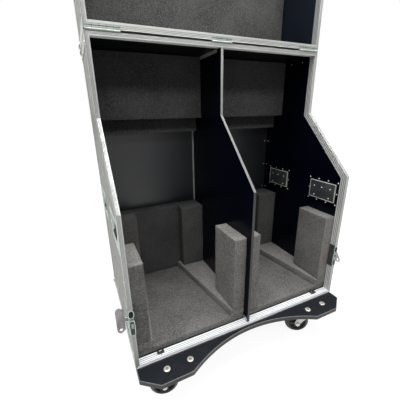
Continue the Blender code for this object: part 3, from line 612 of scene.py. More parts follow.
def build_ball_corner(name, corner, outwards, body, turned):
    """A pressed corner: quarter-round legs, each with two rivets, and a ball. Its underside is flush."""
    reach, thickness, sunk, ball_radius, inset = 0.042, 0.0013, 0.0004, 0.0155, 0.009
    mesh = bmesh.new()
    for i, normal in enumerate(outwards):
        if normal == DOWN:
            continue
        first, second = outwards[(i + 1) % 3], outwards[(i + 2) % 3]
        outline = [corner - normal * sunk + (first + second) * thickness]
        for step in range(9):
            angle = pi / 2 * step / 8
            arm = (first * cos(angle) + second * sin(angle)) * (reach + thickness)
            outline.append(outline[0] - arm)
        lower = [mesh.verts.new(point) for point in outline]
        upper = [mesh.verts.new(point + normal * (thickness + sunk)) for point in outline]
        mesh.faces.new(lower)
        mesh.faces.new(upper)
        join(mesh, lower, upper)
        for across, down in ((0.030, 0.013), (0.013, 0.030)):
            centre = corner + normal * thickness - first * across - second * down
            turn_profile(mesh, RIVET, centre, normal, 10)
    lift = ball_radius if outwards[2] == DOWN else inset
    middle = corner - (outwards[0] + outwards[1]) * inset - outwards[2] * lift
    ball = [(ball_radius * sin(pi * step / 10), -ball_radius * cos(pi * step / 10)) for step in range(11)]
    turn_profile(mesh, ball, middle, UP, 16)
    make_piece(name, mesh, body, PLATED, ZINC, turned=turned)


# Rivets and bolts

# The head of a pop rivet and its closed end, as (radius, height) points
RIVET = [
    (0, -0.0004), (0.0036, -0.0004), (0.0035, 0.0004), (0.0024, 0.0011),
    (0.0009, 0.0013), (0.0007, 0.0008), (0, 0.0008),
]
TAIL = [(0, -0.0002), (0.0031, -0.0002), (0.0029, 0.0011), (0.0015, 0.0021), (0, 0.0022)]


def build_rivets(name, spots, body, turned=False, profile=RIVET, surface=None):
    """One piece of many rivets: spots holds (place, outward direction) pairs."""
    mesh = bmesh.new()
    for place, outwards in spots:
        turn_profile(mesh, profile, Vector(place), outwards, 10)
    return make_piece(name, mesh, body, PLATED, surface or BRIGHT, turned=turned)


def spaced(start, end, pitch=RIVET_PITCH):
    """Even places from start to end, about a pitch apart."""
    count = max(1, round((end - start) / pitch))
    return [start + (end - start) * i / count for i in range(count + 1)]


def build_edge_rivets():
    """Rivets in the edge angles, but not beneath the case, and through the rims' outer legs."""
    leg = 0.020                     # from a corner to the rivets in its legs
    lowest, highest = 0.124, 0.894  # of the rivets in the uprights
    for turned, rear, body in ((False, REAR_OUTER, "case"), (True, LID_FRONT_OUTER, "lid")):
        facing = FORWARD if turned else BACK
        inset = leg if turned else -leg
        spots = []
        for side in SIDES.values():
            outwards = Vector((side, 0, 0))
            for z in spaced(lowest, highest):
                spots.append(((side * HALF_OUTER, rear + inset, z), outwards))
                spots.append(((side * (HALF_OUTER - leg), rear, z), facing))
            for z, normal in ((BOTTOM_OUTER, DOWN), (TOP_OUTER, UP)):
                front = UPPER_FRONT if normal == UP else 0
                if turned:
                    ys = spaced(rear + 0.07, front - 0.05) if front else [rear + 0.055]
                else:
                    ys = spaced(front + 0.05, rear - 0.07)
                for y in ys:
                    spots.append(((side * HALF_OUTER, y, z - leg * normal.z), outwards))
                    if normal == UP:
                        spots.append(((side * (HALF_OUTER - leg), y, z), normal))
        for x in spaced(-0.36, 0.36, 0.12):
            for z in (BOTTOM_OUTER + leg, TOP_OUTER - leg):
                spots.append(((x, rear, z), facing))
            spots.append(((x, rear + inset, TOP_OUTER), UP))
        build_rivets("lid_edge_rivets" if turned else "edge_rivets", spots, body, turned)
        build_rim_rivets(turned, body)


def build_rim_rivets(turned, body):
    """Rivets along the outer legs of a rim, half way back from the rim line."""
    dish_low, dish_high = case_box("left_latch_dish")
    back = -0.013 if turned else 0.013
    slope = atan2(UPPER_FRONT, SLOPE_HIGH - SLOPE_LOW)
    spots = []
    for side in SIDES.values():
        outwards = Vector((side, 0, 0))
        x = side * HALF_OUTER
        for z in spaced(0.045, SLOPE_LOW - 0.03, 0.1):
            if not dish_low.z - 0.006 < z < dish_high.z + 0.006:
                spots.append(((x, back, z), outwards))
        for share in (0.2, 0.5, 0.8):
            y, z = UPPER_FRONT * share, SLOPE_LOW + (SLOPE_HIGH - SLOPE_LOW) * share
            spots.append(((x, y + back * cos(slope), z - back * sin(slope)), outwards))
        for z in spaced(SLOPE_HIGH + 0.03, TOP_OUTER - 0.03, 0.1):
            spots.append(((x, UPPER_FRONT + back, z), outwards))
    build_rivets("lid_rim_rivets" if turned else "rim_rivets", spots, body, turned)


def build_inner_tails():
    """The closed ends of rivets that show on the dark inner walls."""
    spots = []
    for z in (0.380, 0.510, 0.638):
        for side in SIDES.values():
            spots.append(((side * HALF_INNER, REAR_INNER - 0.013, z), Vector((-side, 0, 0))))
            spots.append(((side * (HALF_INNER - 0.013), REAR_INNER, z), FORWARD))
    for side in SIDES.values():
        for y in (0.300, 0.365):
            spots.append(((side * HALF_INNER, y, CEILING - 0.016), Vector((-side, 0, 0))))
    build_rivets("inner_rivet_tails", spots, "case", profile=TAIL, surface=TAIL_STEEL)


# Foam

def soften(mesh, amount=0.0006):
    """Gives cut foam its slightly uneven faces and edges."""
    mesh.normal_update()
    for vertex in mesh.verts:
        wave = noise.noise(vertex.co * 23) + 0.5 * noise.noise(vertex.co * 90)
        vertex.co += vertex.normal * (amount * (wave - 0.75))


def foam_piece(name, outline, axis, low, high, node, *surfaces, turned=False, edge=0.0013, grid=0.016):
    """A block of foam cut to an outline, rounded and in a fine grid. A second surface goes on its front, the
    foam painted in the brightness of the light that falls there.
    """
    mesh = prism(outline, axis, low, high)
    bmesh.ops.recalc_face_normals(mesh, faces=mesh.faces)
    round_edges(mesh, edge, 3)
    for direction in range(3):
        normal = [0, 0, 0]
        normal[direction] = 1
        levels = [vertex.co[direction] for vertex in mesh.verts]
        first, last = min(levels), max(levels)
        steps = max(1, round((last - first) / grid))
        for i in range(1, steps):
            place = [0, 0, 0]
            place[direction] = first + (last - first) * i / steps
            geometry = list(mesh.verts) + list(mesh.edges) + list(mesh.faces)
            bmesh.ops.bisect_plane(mesh, geom=geometry, plane_co=place, plane_no=normal)
    if len(surfaces) > 1:
        # Faces looking forward take the second surface, painted light and shade.
        mesh.normal_update()
        for face in mesh.faces:
            face.material_index = 1 if face.normal.y < -0.7 else 0
    soften(mesh)
    piece = make_piece(
        name, mesh, "lid" if turned else "case", FOAM, *(surfaces or [LINING_FOAM]), turned=turned, smooth=60
    )
    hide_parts(node)
    return piece


def rectangle(low_a, low_b, high_a, high_b):
    return [(low_a, low_b), (high_a, low_b), (high_a, high_b), (low_a, high_b)]


def plan(corners):
    """A box's outline seen from above, the axis across it and its lowest and highest z."""
    low, high = corners
    return rectangle(low.x, low.y, high.x, high.y), 2, low.z, high.z


def strip_shapes(word, floor_low, floor_high):
    """The two tapered strips of a bay's floor, seen from above, read from the floor foam's corners."""
    tops = [corner for corner in case_corners(f"{word}_floor_foam") if corner.z > floor_high.z - NEAR]
    front = min(corner.y for corner in tops)
    back = max(corner.y for corner in tops)
    middle = (floor_low.x + floor_high.x) / 2
    for wall, inwards in ((floor_low.x, 1), (floor_high.x, -1)):
        mine = [corner for corner in tops if (corner.x - middle) * inwards < 0]
        near = max(abs(corner.x - wall) for corner in mine if corner.y < front + NEAR)
        far = max(abs(corner.x - wall) for corner in mine if corner.y > back - NEAR)
        yield [(wall, front), (wall, back), (wall + inwards * far, back), (wall + inwards * near, front)]


def build_bay_foam(word):
    floor_low, floor_high = case_box(f"{word}_floor_foam")
    rear_low, rear_high = case_box(f"{word}_rear_foam")
    board_top = rear_low.z - GAP
    node = f"{word}_floor_foam"
    outline = plan((floor_low, floor_high))[0]
    # The floor sheet and the strips get the lighter floor and block copies of the foam, painted light.
    foam_piece(f"{word}_floor_sheet", outline, 2, floor_low.z, board_top, node, FLOOR_FOAM, edge=0.007)
    for place, shape in zip(("left", "right"), strip_shapes(word, floor_low, floor_high)):
        foam_piece(f"{word}_bay_{place}_strip", shape, 2, board_top + GAP, floor_high.z, node, BLOCK_FOAM)
    for place in ("outer", "inner"):
        node = f"{word}_{place}_front_block"
        # The right bay's outer block has darker sides and the left bay's outer block a darker front, painted
        # shade; the other fronts are lighter, painted light.
        side = SHADED_FOAM if node == "right_outer_front_block" else BLOCK_FOAM
        front = SHADED_FOAM if node == "left_outer_front_block" else LIT_FRONT_FOAM
        foam_piece(f"{node}_cut", *plan(case_box(node)), node, side, front)
    build_rear_foam(word, rear_low, rear_high, floor_high.z + GAP)
    build_upper_foam(word)


def build_rear_foam(word, low, high, block_low):
    """A board against the back wall with a block in front of it at each end."""
    node = f"{word}_rear_foam"
    corners = case_corners(node)
    fronts = [corner.x for corner in corners if corner.y < low.y + NEAR]
    middle = (low.x + high.x) / 2
    inner_left = max(x for x in fronts if x < middle)
    inner_right = min(x for x in fronts if x > middle)
    board_front = min(corner.y for corner in corners if abs(corner.z - low.z) < NEAR)
    foam_piece(f"{word}_back_board", rectangle(low.x, board_front, high.x, high.y), 2, low.z, high.z, node)
    for place, x_low, x_high in (("left", low.x, inner_left), ("right", inner_right, high.x)):
        outline = rectangle(x_low, low.y, x_high, board_front - GAP)
        # The left bay's left rear block gets the lighter floor copy of the foam, painted light.
        surface = FLOOR_FOAM if (word, place) == ("left", "left") else REAR_FOAM
        foam_piece(f"{word}_bay_{place}_rear_block", outline, 2, block_low, high.z, node, surface)


def build_upper_foam(word):
    """Two layers under the roof, the front one shorter."""
    node = f"{word}_upper_foam"
    low, high = case_box(node)
    corners = case_corners(node)
    face_bottom = min(corner.z for corner in corners if corner.y < low.y + NEAR)
    back_front = min(corner.y for corner in corners if corner.z < low.z + NEAR)
    outline = rectangle(back_front, low.z, high.y, high.z)
    foam_piece(f"{word}_upper_back_layer", outline, 0, low.x, high.x, node)
    outline = rectangle(low.y, face_bottom, back_front - GAP, high.z)
    foam_piece(f"{word}_upper_front_layer", outline, 0, low.x, high.x, node)


def build_lid_foam():
    """The lid's lining: a thick board in the deep part and a thin one in the shallow part."""
    low, high = case_box("lid_foam")
    corners = [OPEN_LID @ corner for corner in case_corners("lid_foam")]
    ys = [corner.y for corner in corners]
    zs = [corner.z for corner in corners]
    thin = max(corner.y for corner in corners if corner.z < min(zs) + NEAR)
    step = min(corner.z for corner in corners if corner.y > max(ys) - NEAR)
    thick_outline = rectangle(min(ys), step + GAP, max(ys), max(zs))
    thin_outline = rectangle(min(ys), min(zs), thin, step)
    for name, outline in (("lid_thick_foam", thick_outline), ("lid_thin_foam", thin_outline)):
        foam_piece(name, outline, 0, low.x, high.x, "lid_foam", LID_FOAM, turned=True, grid=0.020)


# Panels

def facing(direction):
    """The first surface for faces that look the given way, the second for the far side, the third between."""
    aim = Vector(direction)

    def choose(face):
        lined_up = face.normal.dot(aim)
        if lined_up > 0.7:
            return 0
        return 1 if lined_up < -0.7 else 2

    return choose


def build_panels():
    """Grey laminate outside, dark laminate inside and sealed edges."""
    outwards = {
        "back_panel": (0, 1, 0), "top_panel": (0, 0, 1), "bottom_panel": (0, 0, -1),
        "lid_front_panel": (0, 1, 0), "lid_top_panel": (0, 0, -1), "lid_bottom_panel": (0, 0, 1),
    }
    for word, side in SIDES.items():
        outwards[f"{word}_side_panel"] = (side, 0, 0)
        outwards[f"lid_{word}_panel"] = (side, 0, 0)
    for node, direction in outwards.items():
        lining = INNER if node == "back_panel" else LID_WALL if node.startswith("lid") else WALL
        refined(node, "grey_laminate", (OUTER, lining, PLY_EDGE), 0, facing(direction))


def build_divider():
    """The divider with its front edging light above the slope's foot and dark below, and the slim channels
    that hold it.
    """
    def choose(face):
        if face.normal.y > -0.3:
            return 0
        return 1 if face.calc_center_median().z > CASE.z + SLOPE_LOW - 0.002 else 2

    refined("divider_panel", "dark_laminate", (WALL, DIVIDER_EDGE, LOWER_DIVIDER_EDGE), 0.0004, choose, 1)
    low, high = case_box("divider_panel")
    shelf = case_box("left_rear_foam")[1].z + GAP
    upper = case_box("left_upper_foam")[0]
    floor_front = case_box("left_floor_foam")[0].y - GAP
    ceiling = CEILING - GAP
    leg, thin = 0.012, 0.0012
    floor_ends = []
    for word, side in SIDES.items():
        x = low.x - GAP if side < 0 else high.x + GAP
        near, far = sorted((x, x + side * thin))
        rear = (near, REAR_INNER - leg, shelf), (far, REAR_INNER - GAP, upper.z - GAP)
        # The rear channel's near-white aluminium is painted highlight.
        box_piece(f"{word}_rear_channel", [rear], "case", RIDGED, SHEEN_ALUMINIUM)
        roof = (near, UPPER_FRONT + RIM_LEG + 0.004, ceiling - leg), (far, upper.y - GAP, ceiling)
        box_piece(f"{word}_ceiling_channel", [roof], "case", RIDGED, RAIL)
        floor_ends.append(((near, 0.004, GAP + INNER_LEG + GAP), (far, floor_front, 0.017)))
    mesh = bmesh.new()
    for corners in floor_ends:
        add_box(mesh, *corners)
    turn_profile(mesh, RIVET, Vector((low.x - GAP - thin, 0.014, 0.009)), Vector((-1, 0, 0)), 10)
    make_piece("floor_channel_end", mesh, "case", RIDGED, BRIGHT)


# Handles and latches

# Bolts on a dish's back, across and up from its middle
DISH_BOLTS = (-0.041, 0.0135), (0.002, 0.0135), (0.043, 0.0135), (-0.038, -0.027), (0.039, -0.027)


def build_handles():
    """Recessed dishes with their rivets, inside and out, and rubber-sleeved grips."""
    for word, side in SIDES.items():
        outwards = Vector((side, 0, 0))
        for place in ("front", "rear"):
            node = f"{word}_{place}_handle_dish"
            low, high = case_box(node)
            refined(node, PLATED, (LATCH_ZINC, SHADED_ZINC), 0.0007, dish_back(side))
            centre = (low + high) / 2
            half_y, half_z = (high.y - low.y) / 2 - 0.0065, (high.z - low.z) / 2 - 0.008
            ring = [(share * half_y, end * half_z) for share in (-1, -0.34, 0.34, 1) for end in (-1, 1)]
            ring += [(-half_y, 0), (half_y, 0)]
            face = high.x if side > 0 else low.x
            spots = [((face, centre.y + y, centre.z + z), outwards) for y, z in ring]
            build_rivets(f"{node}_rivets", spots, "case")
            tails = [((side * HALF_INNER, centre.y + y, centre.z + z), -outwards) for y, z in ring]
            back = low.x if side > 0 else high.x
            tails += [((back, centre.y + y, centre.z + z), -outwards) for y, z in DISH_BOLTS]
            build_rivets(f"{node}_tails", tails, "case", profile=TAIL, surface=TAIL_STEEL)
            build_dish_lip(node, side, low, high)
            build_grip(f"{word}_{place}", side)


def dish_back(side):
    """The side of a dish that looks into the case gets a darker copy of the plating, painted shade."""
    def choose(face):
        return 1 if face.normal.x * side < -0.5 and abs(face.calc_center_median().x) < HALF_INNER else 0

    return choose


def build_dish_lip(node, side, low, high):
    """The bright sheared edge round a dish where it comes through the wall."""
    centre = (low + high) / 2
    back = low.x if side > 0 else high.x
    half_y, half_z, thin = 0.0664, 0.0394, 0.0022
    y0, z0, y1, z1 = centre.y - half_y, centre.z - half_z, centre.y + half_y, centre.z + half_z
    x = sorted((back - side * 0.0010, side * (HALF_INNER - GAP)))
    sides = (
        (y0, z0, y1, z0 + thin), (y0, z1 - thin, y1, z1), (y0, z0 + thin, y0 + thin, z1 - thin),
        (y1 - thin, z0 + thin, y1, z1 - thin),
    )
    boxes = [((x[0], *corners[:2]), (x[1], *corners[2:])) for corners in sides]
    box_piece(f"{node}_lip", boxes, "case", PLATED, LIP_ZINC)


def build_grip(name, side):
    """A rounded copy of the grip, and a ribbed rubber sleeve on its bar."""
    node = f"{name}_handle_grip"
    refined(node, RUBBER, (ZINC,), 0.0005, smooth=45)
    low, high = case_box(node)
    radius = 0.0069
    bar = Vector((side * abs((low.x + high.x) / 2), (low.y + high.y) / 2, low.z + radius - 0.0001))
    half, ribs = 0.0405, 11
    profile = [(0, -half), (radius, -half)]
    for i in range(ribs):
        middle = half * (2 * (i + 0.5) / ribs - 1)
        profile += [(radius + 0.0001, middle - 0.0028), (radius + 0.0006, middle - 0.0018)]
        profile += [(radius + 0.0006, middle + 0.0018), (radius + 0.0001, middle + 0.0028)]
    profile += [(radius, half), (0, half)]
    mesh = bmesh.new()
    turn_profile(mesh, profile, bar, BACK, 20)
    make_piece(f"{name}_grip_sleeve", mesh, f"{name}_grip", RUBBER, GRIP, smooth=50)


def build_latches():
    """Butterfly latches: dishes, hooks, turners and wings, with their rivets."""
    for word, side in SIDES.items():
        outwards = Vector((side, 0, 0))
        for part in ("dish", "hook", "rotor", "wing", "keeper"):
            plating = WING if part == "wing" else LATCH_ZINC
            refined(f"{word}_latch_{part}", PLATED, (plating,), 0.0005)
        build_latch_mouth(word, side)
        for part, body in (("dish", "case"), ("keeper", "lid")):
            low, high = case_box(f"{word}_latch_{part}")
            face = high.x if side > 0 else low.x
            spots = []
            ends = (low.z + 0.005, high.z - 0.005)
            for z in ends:
                spots += [((face, low.y + share * (high.y - low.y), z), outwards) for share in (0.22, 0.78)]
            edge = high.y - 0.004 if part == "dish" else low.y + 0.004
            spots.append(((face, edge, (low.z + high.z) / 2), outwards))
            build_rivets(f"{word}_latch_{part}_rivets", spots, body)
        low, high = case_box(f"{word}_latch_dish")
        wall = HALF_INNER - GAP - INNER_LEG
        back = sorted((side * (wall - 0.0002), side * (wall - 0.0014)))
        mesh = bmesh.new()
        add_box(mesh, (back[0], 0.0008, low.z + 0.006), (back[1], 0.0258, high.z - 0.006))
        round_edges(mesh, 0.0005, 1)
        inner = back[0] if side > 0 else back[1]
        turn_profile(mesh, RIVET, Vector((inner, 0.013, (low.z + high.z) / 2)), -outwards, 10)
        # The back plate is painted dark, as shade inside the case.
        make_piece(f"{word}_latch_back_plate", mesh, "case", PLATED, SHADED_ZINC)


def latch_loop(mesh, x, y, z, half_x, half_z, squareness):
    """An oval loop of points at the rim line: squareness 0 is an ellipse and 1 a rectangle."""
    ring = []
    for step in range(32):
        across, rise = cos(2 * pi * step / 32), sin(2 * pi * step / 32)
        stretch = max(abs(across), abs(rise)) ** -squareness
        ring.append(mesh.verts.new((x + half_x * across * stretch, y, z + half_z * rise * stretch)))
    return ring


def build_latch_mouth(word, side):
    """The front of the latch's pocket: an oval hollow, and below it the frame that the hook leaves by."""
    front = case_box(f"{word}_latch_dish")[0].y - GAP - 0.0006
    hook_low, hook_high = case_box(f"{word}_latch_hook")
    hook, half_hook = (hook_low + hook_high) / 2, (hook_high - hook_low) / 2
    x = side * (HALF_INNER + HALF_OUTER) / 2
    lip, depth, floor = 0.0028, 0.0022, front + 0.0001
    for part, z, half_x, half_z, squareness, shade in (
        ("eye", 0.2120, 0.0100, 0.0160, 0, HOLLOW_SHADE), ("slot", 0.1600, 0.0095, 0.0300, 0.6, SLOT_SHADE),
    ):
        mesh = bmesh.new()
        rings = ((front + depth, 0), (front, 0), (front, lip), (floor, lip))
        loops = [latch_loop(mesh, x, y, z, half_x - inset, half_z - inset, squareness) for y, inset in rings]
        if part == "slot":
            loops.append(latch_loop(mesh, hook.x, floor, hook.z, half_hook.x + GAP, half_hook.z + GAP, 1))
        # The eye's floor and the slot's floor round the hook take the dark surface, painted shade in the
        # hollows.
        for near, far in zip(loops, loops[1:]):
            for face in join(mesh, near, far):
                face.material_index = 1 if near == loops[3] else 0
        if part == "eye":
            mesh.faces.new(loops[-1]).material_index = 1
        make_piece(f"{word}_latch_{part}", mesh, "case", PLATED, LATCH_ZINC, shade)


def build_clips():
    """Small black clips on the bottom rim, each with a pale rivet."""
    for word, side in SIDES.items():
        x = side * 0.360
        boxes = [((x - 0.012, 0.012, 0.0014), (x + 0.012, 0.0175, 0.0075))]
        for start, end in ((-0.012, -0.005), (0.005, 0.012)):
            boxes.append(((x + start, 0.0175, 0.0014), (x + end, 0.0255, 0.0055)))
        box_piece(f"{word}_rim_clip", boxes, "case", RUBBER, CLIP)
        build_rivets(f"{word}_clip_rivet", [((x, 0.007, 0.0012), UP)], "case")


def build_hinges():
    """Knuckled leaves of the three hinges, with their screws."""
    leaf_top = HINGE.z - 0.0017
    for word in ("left", "middle", "right"):
        node = f"{word}_hinge_leaf"
        refined(node, PLATED, (HINGE_ZINC,), 0.0003, segments=1)
        low, high = case_box(node)
        build_hinge_face(word, low.x, high.x)
        mesh = bmesh.new()
        pitch = (high.x - low.x) / 5
        run = pitch - 2 * GAP
        profile = [(0, 0), (0.0031, 0), (0.0032, 0.0002), (0.0032, run - GAP), (0.0031, run), (0, run)]
        for i in range(0, 5, 2):
            start = low.x + i * pitch + GAP
            turn_profile(mesh, profile, Vector((start, HINGE.y, HINGE.z)), Vector((1, 0, 0)), 16)
            add_box(mesh, (start, HINGE.y, HINGE.z - 0.0030), (start + run, HINGE.y + 0.008, leaf_top))
        add_box(mesh, (low.x, HINGE.y + 0.0055, TOP_OUTER), (high.x, HINGE.y + RIM_LEG, leaf_top))
        for share in (0.12, 0.5, 0.88):
            centre = Vector((low.x + share * (high.x - low.x), HINGE.y + 0.017, leaf_top))
            turn_profile(mesh, RIVET, centre, UP, 10)
        make_piece(f"{word}_fixed_hinge_leaf", mesh, "case", PLATED, HINGE_ZINC)


def build_hinge_face(word, start, end):
    """The pressed facing of a hinge on the lid's rail: two rows of flats, with seams between them painted
    dark as shade.
    """
    top = TOP_OUTER - 0.0004
    row, seam = 0.0052, 0.0010
    face = UPPER_FRONT + LID_BACK
    mesh = bmesh.new()
    # The backing that shows in the seams takes the dark surface, painted shade.
    for part in add_box(mesh, (start, face - 0.001, top - 2 * row - seam), (end, face + 0.0001, top)):
        for side in part.link_faces:
            side.material_index = 1
    count = round((end - start) / 0.019)
    pitch = (end - start) / count
    for i in range(count):
        for level in (top - row, top - 2 * row - seam):
            low = (start + i * pitch + seam / 2, face - 0.001, level + seam / 2)
            add_box(mesh, low, (start + (i + 1) * pitch - seam / 2, face + 0.0003, level + row - seam / 2))
    make_piece(f"{word}_hinge_facing", mesh, "lid", PLATED, HINGE_ZINC, SLOT_SHADE, turned=True)


# Running gear

BOLT_X, BOLT_Y = 0.0105, 0.010      # a castor's bolts, from the edges of its plate


def build_board():
    """The castor board: a black facing, painted edges and domed bolts at its front. Its upper arrises are
    lighter, painted highlight; the bolts' sockets and a black strip along the rim's foot are painted shade.
    """
    def choose(face):
        if abs(face.normal.z) > 0.98:
            return 0
        # Rounded edges that face up take the lighter arris surface, painted highlight.
        return 2 if face.normal.z > 0.2 else 1

    refined("castor_board", "black_board", (BOARD, BOARD_EDGE, LIT_BOARD_ARRIS), 0.0022, choose, 3)
    top = case_box("castor_board")[1].z
    dome = [(0, -0.001), (0.0110, -0.001), (0.0112, 0.0003), (0.0101, 0.0011), (0.0076, 0.0018)]
    dome += [(0.0050, 0.0020), (0.0045, 0.0005), (0.0018, 0.0005), (0.0016, 0.0014), (0, 0.0014)]
    mesh = bmesh.new()
    for name in ("front_left", "front_right"):
        low, high = case_box(f"{name}_castor_plate")
        for x in (low.x + BOLT_X, high.x - BOLT_X):
            turn_profile(mesh, dome, Vector((x, low.y + BOLT_Y, top)), UP, 24)
    # The bolts' socket floors take the dark surface, painted shade.
    for face in mesh.faces:
        if abs(face.calc_center_median().z - top - 0.0005) < 0.0001:
            face.material_index = 1
    make_piece("board_bolts", mesh, "case", PLATED, BOLT, SLOT_SHADE, smooth=40)
    # A thin black strip on the board along the rim's foot, painted shadow in the joint.
    shadow_strip = (-HALF_OUTER + 0.004, -0.0046, top - 0.0010), (HALF_OUTER - 0.004, -GAP, top + 0.0002)
    box_piece("board_joint_shadow_strip", [shadow_strip], "case", RUBBER, CLIP)


def build_castor(name):
    """Bolted plate, raceway, fork, axle bolt, tyre and hub of one castor."""
    low, high = case_box(f"{name}_castor_plate")
    refined(f"{name}_castor_plate", PLATED, (ZINC,), 0.0008)
    refined(f"{name}_castor_fork", PLATED, (ZINC,), 0.0006)
    mesh = bmesh.new()
    nut = [(0, -0.0075), (0.0040, -0.0075), (0.0040, -0.0050), (0.0075, -0.0050), (0.0078, 0.0), (0, 0.0)]
    for x in (low.x + BOLT_X, high.x - BOLT_X):
        for y in (low.y + BOLT_Y, high.y - BOLT_Y):
            turn_profile(mesh, nut, Vector((x, y, low.z + 0.0002)), UP, 6)
    make_piece(f"{name}_castor_nuts", mesh, "case", PLATED, BRIGHT, smooth=20)
    build_raceway(name, Vector(((low.x + high.x) / 2, (low.y + high.y) / 2, low.z)))
    build_wheel(name)


def build_raceway(name, top):
    """The pressed ball race round the kingpin, turning with the fork."""
    mesh = bmesh.new()
    race = [(0, -0.0150), (0.0100, -0.0150), (0.0130, -0.0120), (0.0300, -0.0112), (0.0352, -0.0085)]
    race += [(0.0362, -0.0045), (0.0350, -0.0012), (0, -0.0012)]
    turn_profile(mesh, race, top, UP, 28)
    hexagon = [(0, -0.0215), (0.0080, -0.0215), (0.0085, -0.0205), (0.0085, -0.0145), (0, -0.0145)]
    turn_profile(mesh, hexagon, top, UP, 6)
    make_piece(f"{name}_castor_raceway", mesh, f"{name}_fork", PLATED, ZINC)


def build_wheel(name):
    """A rounded tyre on a ribbed hub, and the axle bolt with its nut."""
    joint = next(j for j in frame["joints"] if j["name"] == f"{name}_wheel_spin")
    hub, axle = Vector(joint["pos_m"]) - CASE, Vector(joint["axis"])
    low, high = case_box(f"{name}_castor_wheel")
    radius, half = (high.z - low.z) / 2, 0.016
    crown, shoulder = 0.010, 78     # the tread's rounding, in metres and in degrees
    section = [(0.0372, -half + 0.0012), (0.0395, -half)]
    for step in range(13):
        angle = radians(shoulder * (step / 6 - 1))
        across = (half - 0.0045) * sin(angle) / sin(radians(shoulder))
        section.append((radius - crown + crown * cos(angle), across))
    section += [(0.0395, half), (0.0372, half - 0.0012)]
    mesh = bmesh.new()
    turn_ring(mesh, section, hub, axle, 64)
    tyre = make_piece(f"{name}_castor_tyre", mesh, f"{name}_wheel", RUBBER, TYRE, smooth=40)
    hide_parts(f"{name}_castor_wheel")
    mesh = bmesh.new()
    face = [(0.0066, 0.0018), (0.0135, 0.0018), (0.0145, 0.0008), (0.0150, -0.0070), (0.0320, -0.0080)]
    face += [(0.0345, -0.0020), (0.0370, -0.0014)]
    section = [(r, half + rise) for r, rise in face] + [(r, -half - rise) for r, rise in face[::-1]]
    turn_ring(mesh, section, hub, axle, 40)
    upright = Matrix.Translation(hub) @ axle.to_track_quat("Z", "Y").to_matrix().to_4x4()
    for i in range(6):
        spoke = upright @ Matrix.Rotation(2 * pi * i / 6, 4, "Z")
        for end in (-1, 1):
            rib = add_box(mesh, (0.0140, -0.0012, 0.0070), (0.0335, 0.0012, half - 0.0030))
            bmesh.ops.transform(mesh, matrix=spoke @ Matrix.Diagonal((1, 1, end, 1)), verts=rib)
    make_piece(f"{name}_castor_hub", mesh, f"{name}_wheel", RUBBER, HUB, smooth=40)
    mesh = bmesh.new()
    head = [(0, 0.0215), (0.0090, 0.0215), (0.0092, 0.0222), (0.0092, 0.0270), (0.0080, 0.0282), (0, 0.0282)]
    for end in (-1, 1):
        turn_profile(mesh, head, hub, axle * end, 6)
    make_piece(f"{name}_castor_axle_bolt", mesh, f"{name}_fork", PLATED, BRIGHT, smooth=20)


# Stage

def build_stage():
    data = bpy.data.meshes.new("studio_floor")
    size = 14
    corners = [(x, y, 0) for x, y in rectangle(-size, -size, size, size)]
    data.from_pydata(corners, [], [(0, 1, 2, 3)])
    floor = bpy.data.objects.new("studio_floor", data)
    floor.visible_diffuse = False       # white to the camera, but its glow doesn't light up the bays
    bpy.context.scene.collection.objects.link(floor)
    surface = Surface("pale_floor", 0.85, gloss=0.2)
    surface.paint(surface.blend(surface.noise(2.0, 2), (0.13, 0.13, 0.13), (0.15, 0.15, 0.15)))
    surface.shader.inputs["Emission Color"].default_value = (1, 1, 1, 1)
    away = surface.add("VectorMath", {}, surface.place, 0)
    away.operation = "LENGTH"
    glow = surface.spread(away.outputs["Value"], 0.90, 1.0, 1.5, 5.0)
    surface.tree.links.new(glow, surface.shader.inputs["Emission Strength"])
    data.materials.append(surface.material)


def area_light(name, place, aim, size, power):
    data = bpy.data.lights.new(name, "AREA")
    data.shape = "RECTANGLE"
    data.size, data.size_y = size
    data.energy = power
    lamp = bpy.data.objects.new(name, data)
    lamp.location = place
    lamp.rotation_euler = (Vector(aim) - Vector(place)).to_track_quat("-Z", "Y").to_euler()
    bpy.context.scene.collection.objects.link(lamp)


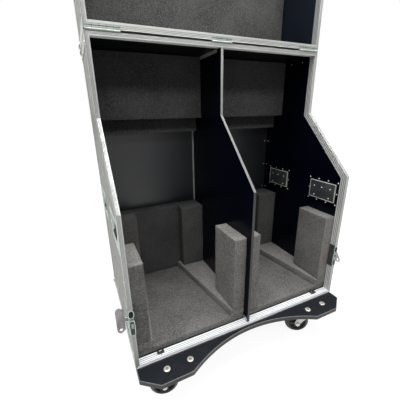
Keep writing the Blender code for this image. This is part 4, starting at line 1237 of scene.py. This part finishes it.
def build_light():
    """A white backdrop that lights softly, panels over the mouth, strips further out and faint fills."""
    world = bpy.data.worlds.new("studio")
    world.use_nodes = True
    tree = world.node_tree
    backdrop = tree.nodes["Background"]
    backdrop.inputs["Color"].default_value = (1, 1, 1, 1)
    path = tree.nodes.new("ShaderNodeLightPath")
    level = tree.nodes.new("ShaderNodeMapRange")
    level.inputs["To Min"].default_value = 0.22
    level.inputs["To Max"].default_value = 1.0
    tree.links.new(path.outputs["Is Camera Ray"], level.inputs["Value"])
    tree.links.new(level.outputs["Result"], backdrop.inputs["Strength"])
    bpy.context.scene.world = world
    for name, y, depth, power in (
        ("back_panel_lamp", 0.20, 0.60, 34), ("middle_panel_lamp", -0.30, 0.40, 88),
        ("fore_panel_lamp", -0.70, 0.40, 46), ("front_strip_lamp", -2.58, 0.75, 80),
        ("far_strip_lamp", -3.02, 0.15, 13),
    ):
        area_light(name, (0, y, 3.2), (0, y, 0), (4.4, depth), power)
    area_light("left_ceiling_lamp", (-1.8, -1.2, 3.2), (0, 0, 0.5), (1.0, 1.0), 7)
    area_light("left_fill", (-3.5, -1.0, 1.6), (0, 0, 0.8), (3.0, 2.5), 22)
    area_light("right_fill", (3.5, -1.0, 1.6), (0, 0, 0.8), (3.0, 2.5), 10)
    area_light("rear_fill", (0.5, 4.0, 2.2), (0, 0, 1.0), (4.0, 2.5), 60)


def build_camera():
    data = bpy.data.cameras.new("camera")
    data.sensor_width = 36
    data.lens = 23.3
    camera = bpy.data.objects.new("camera", data)
    camera.location = (-0.5086, -0.9040, 0.9654)
    camera.rotation_euler = (radians(71.181), radians(1.016), radians(-24.678))
    bpy.context.scene.collection.objects.link(camera)
    bpy.context.scene.camera = camera


def main():
    build_camera()
    build_stage()
    build_light()
    bpy.context.scene.view_settings.view_transform = "Standard"
    build_panels()
    build_divider()
    build_rims()
    build_edge_angles()
    build_edge_rivets()
    build_inner_tails()
    build_handles()
    build_latches()
    build_clips()
    build_hinges()
    build_board()
    for name in ("front_left", "front_right", "rear_left", "rear_right"):
        build_castor(name)
    for word in SIDES:
        build_bay_foam(word)
    build_lid_foam()


main()
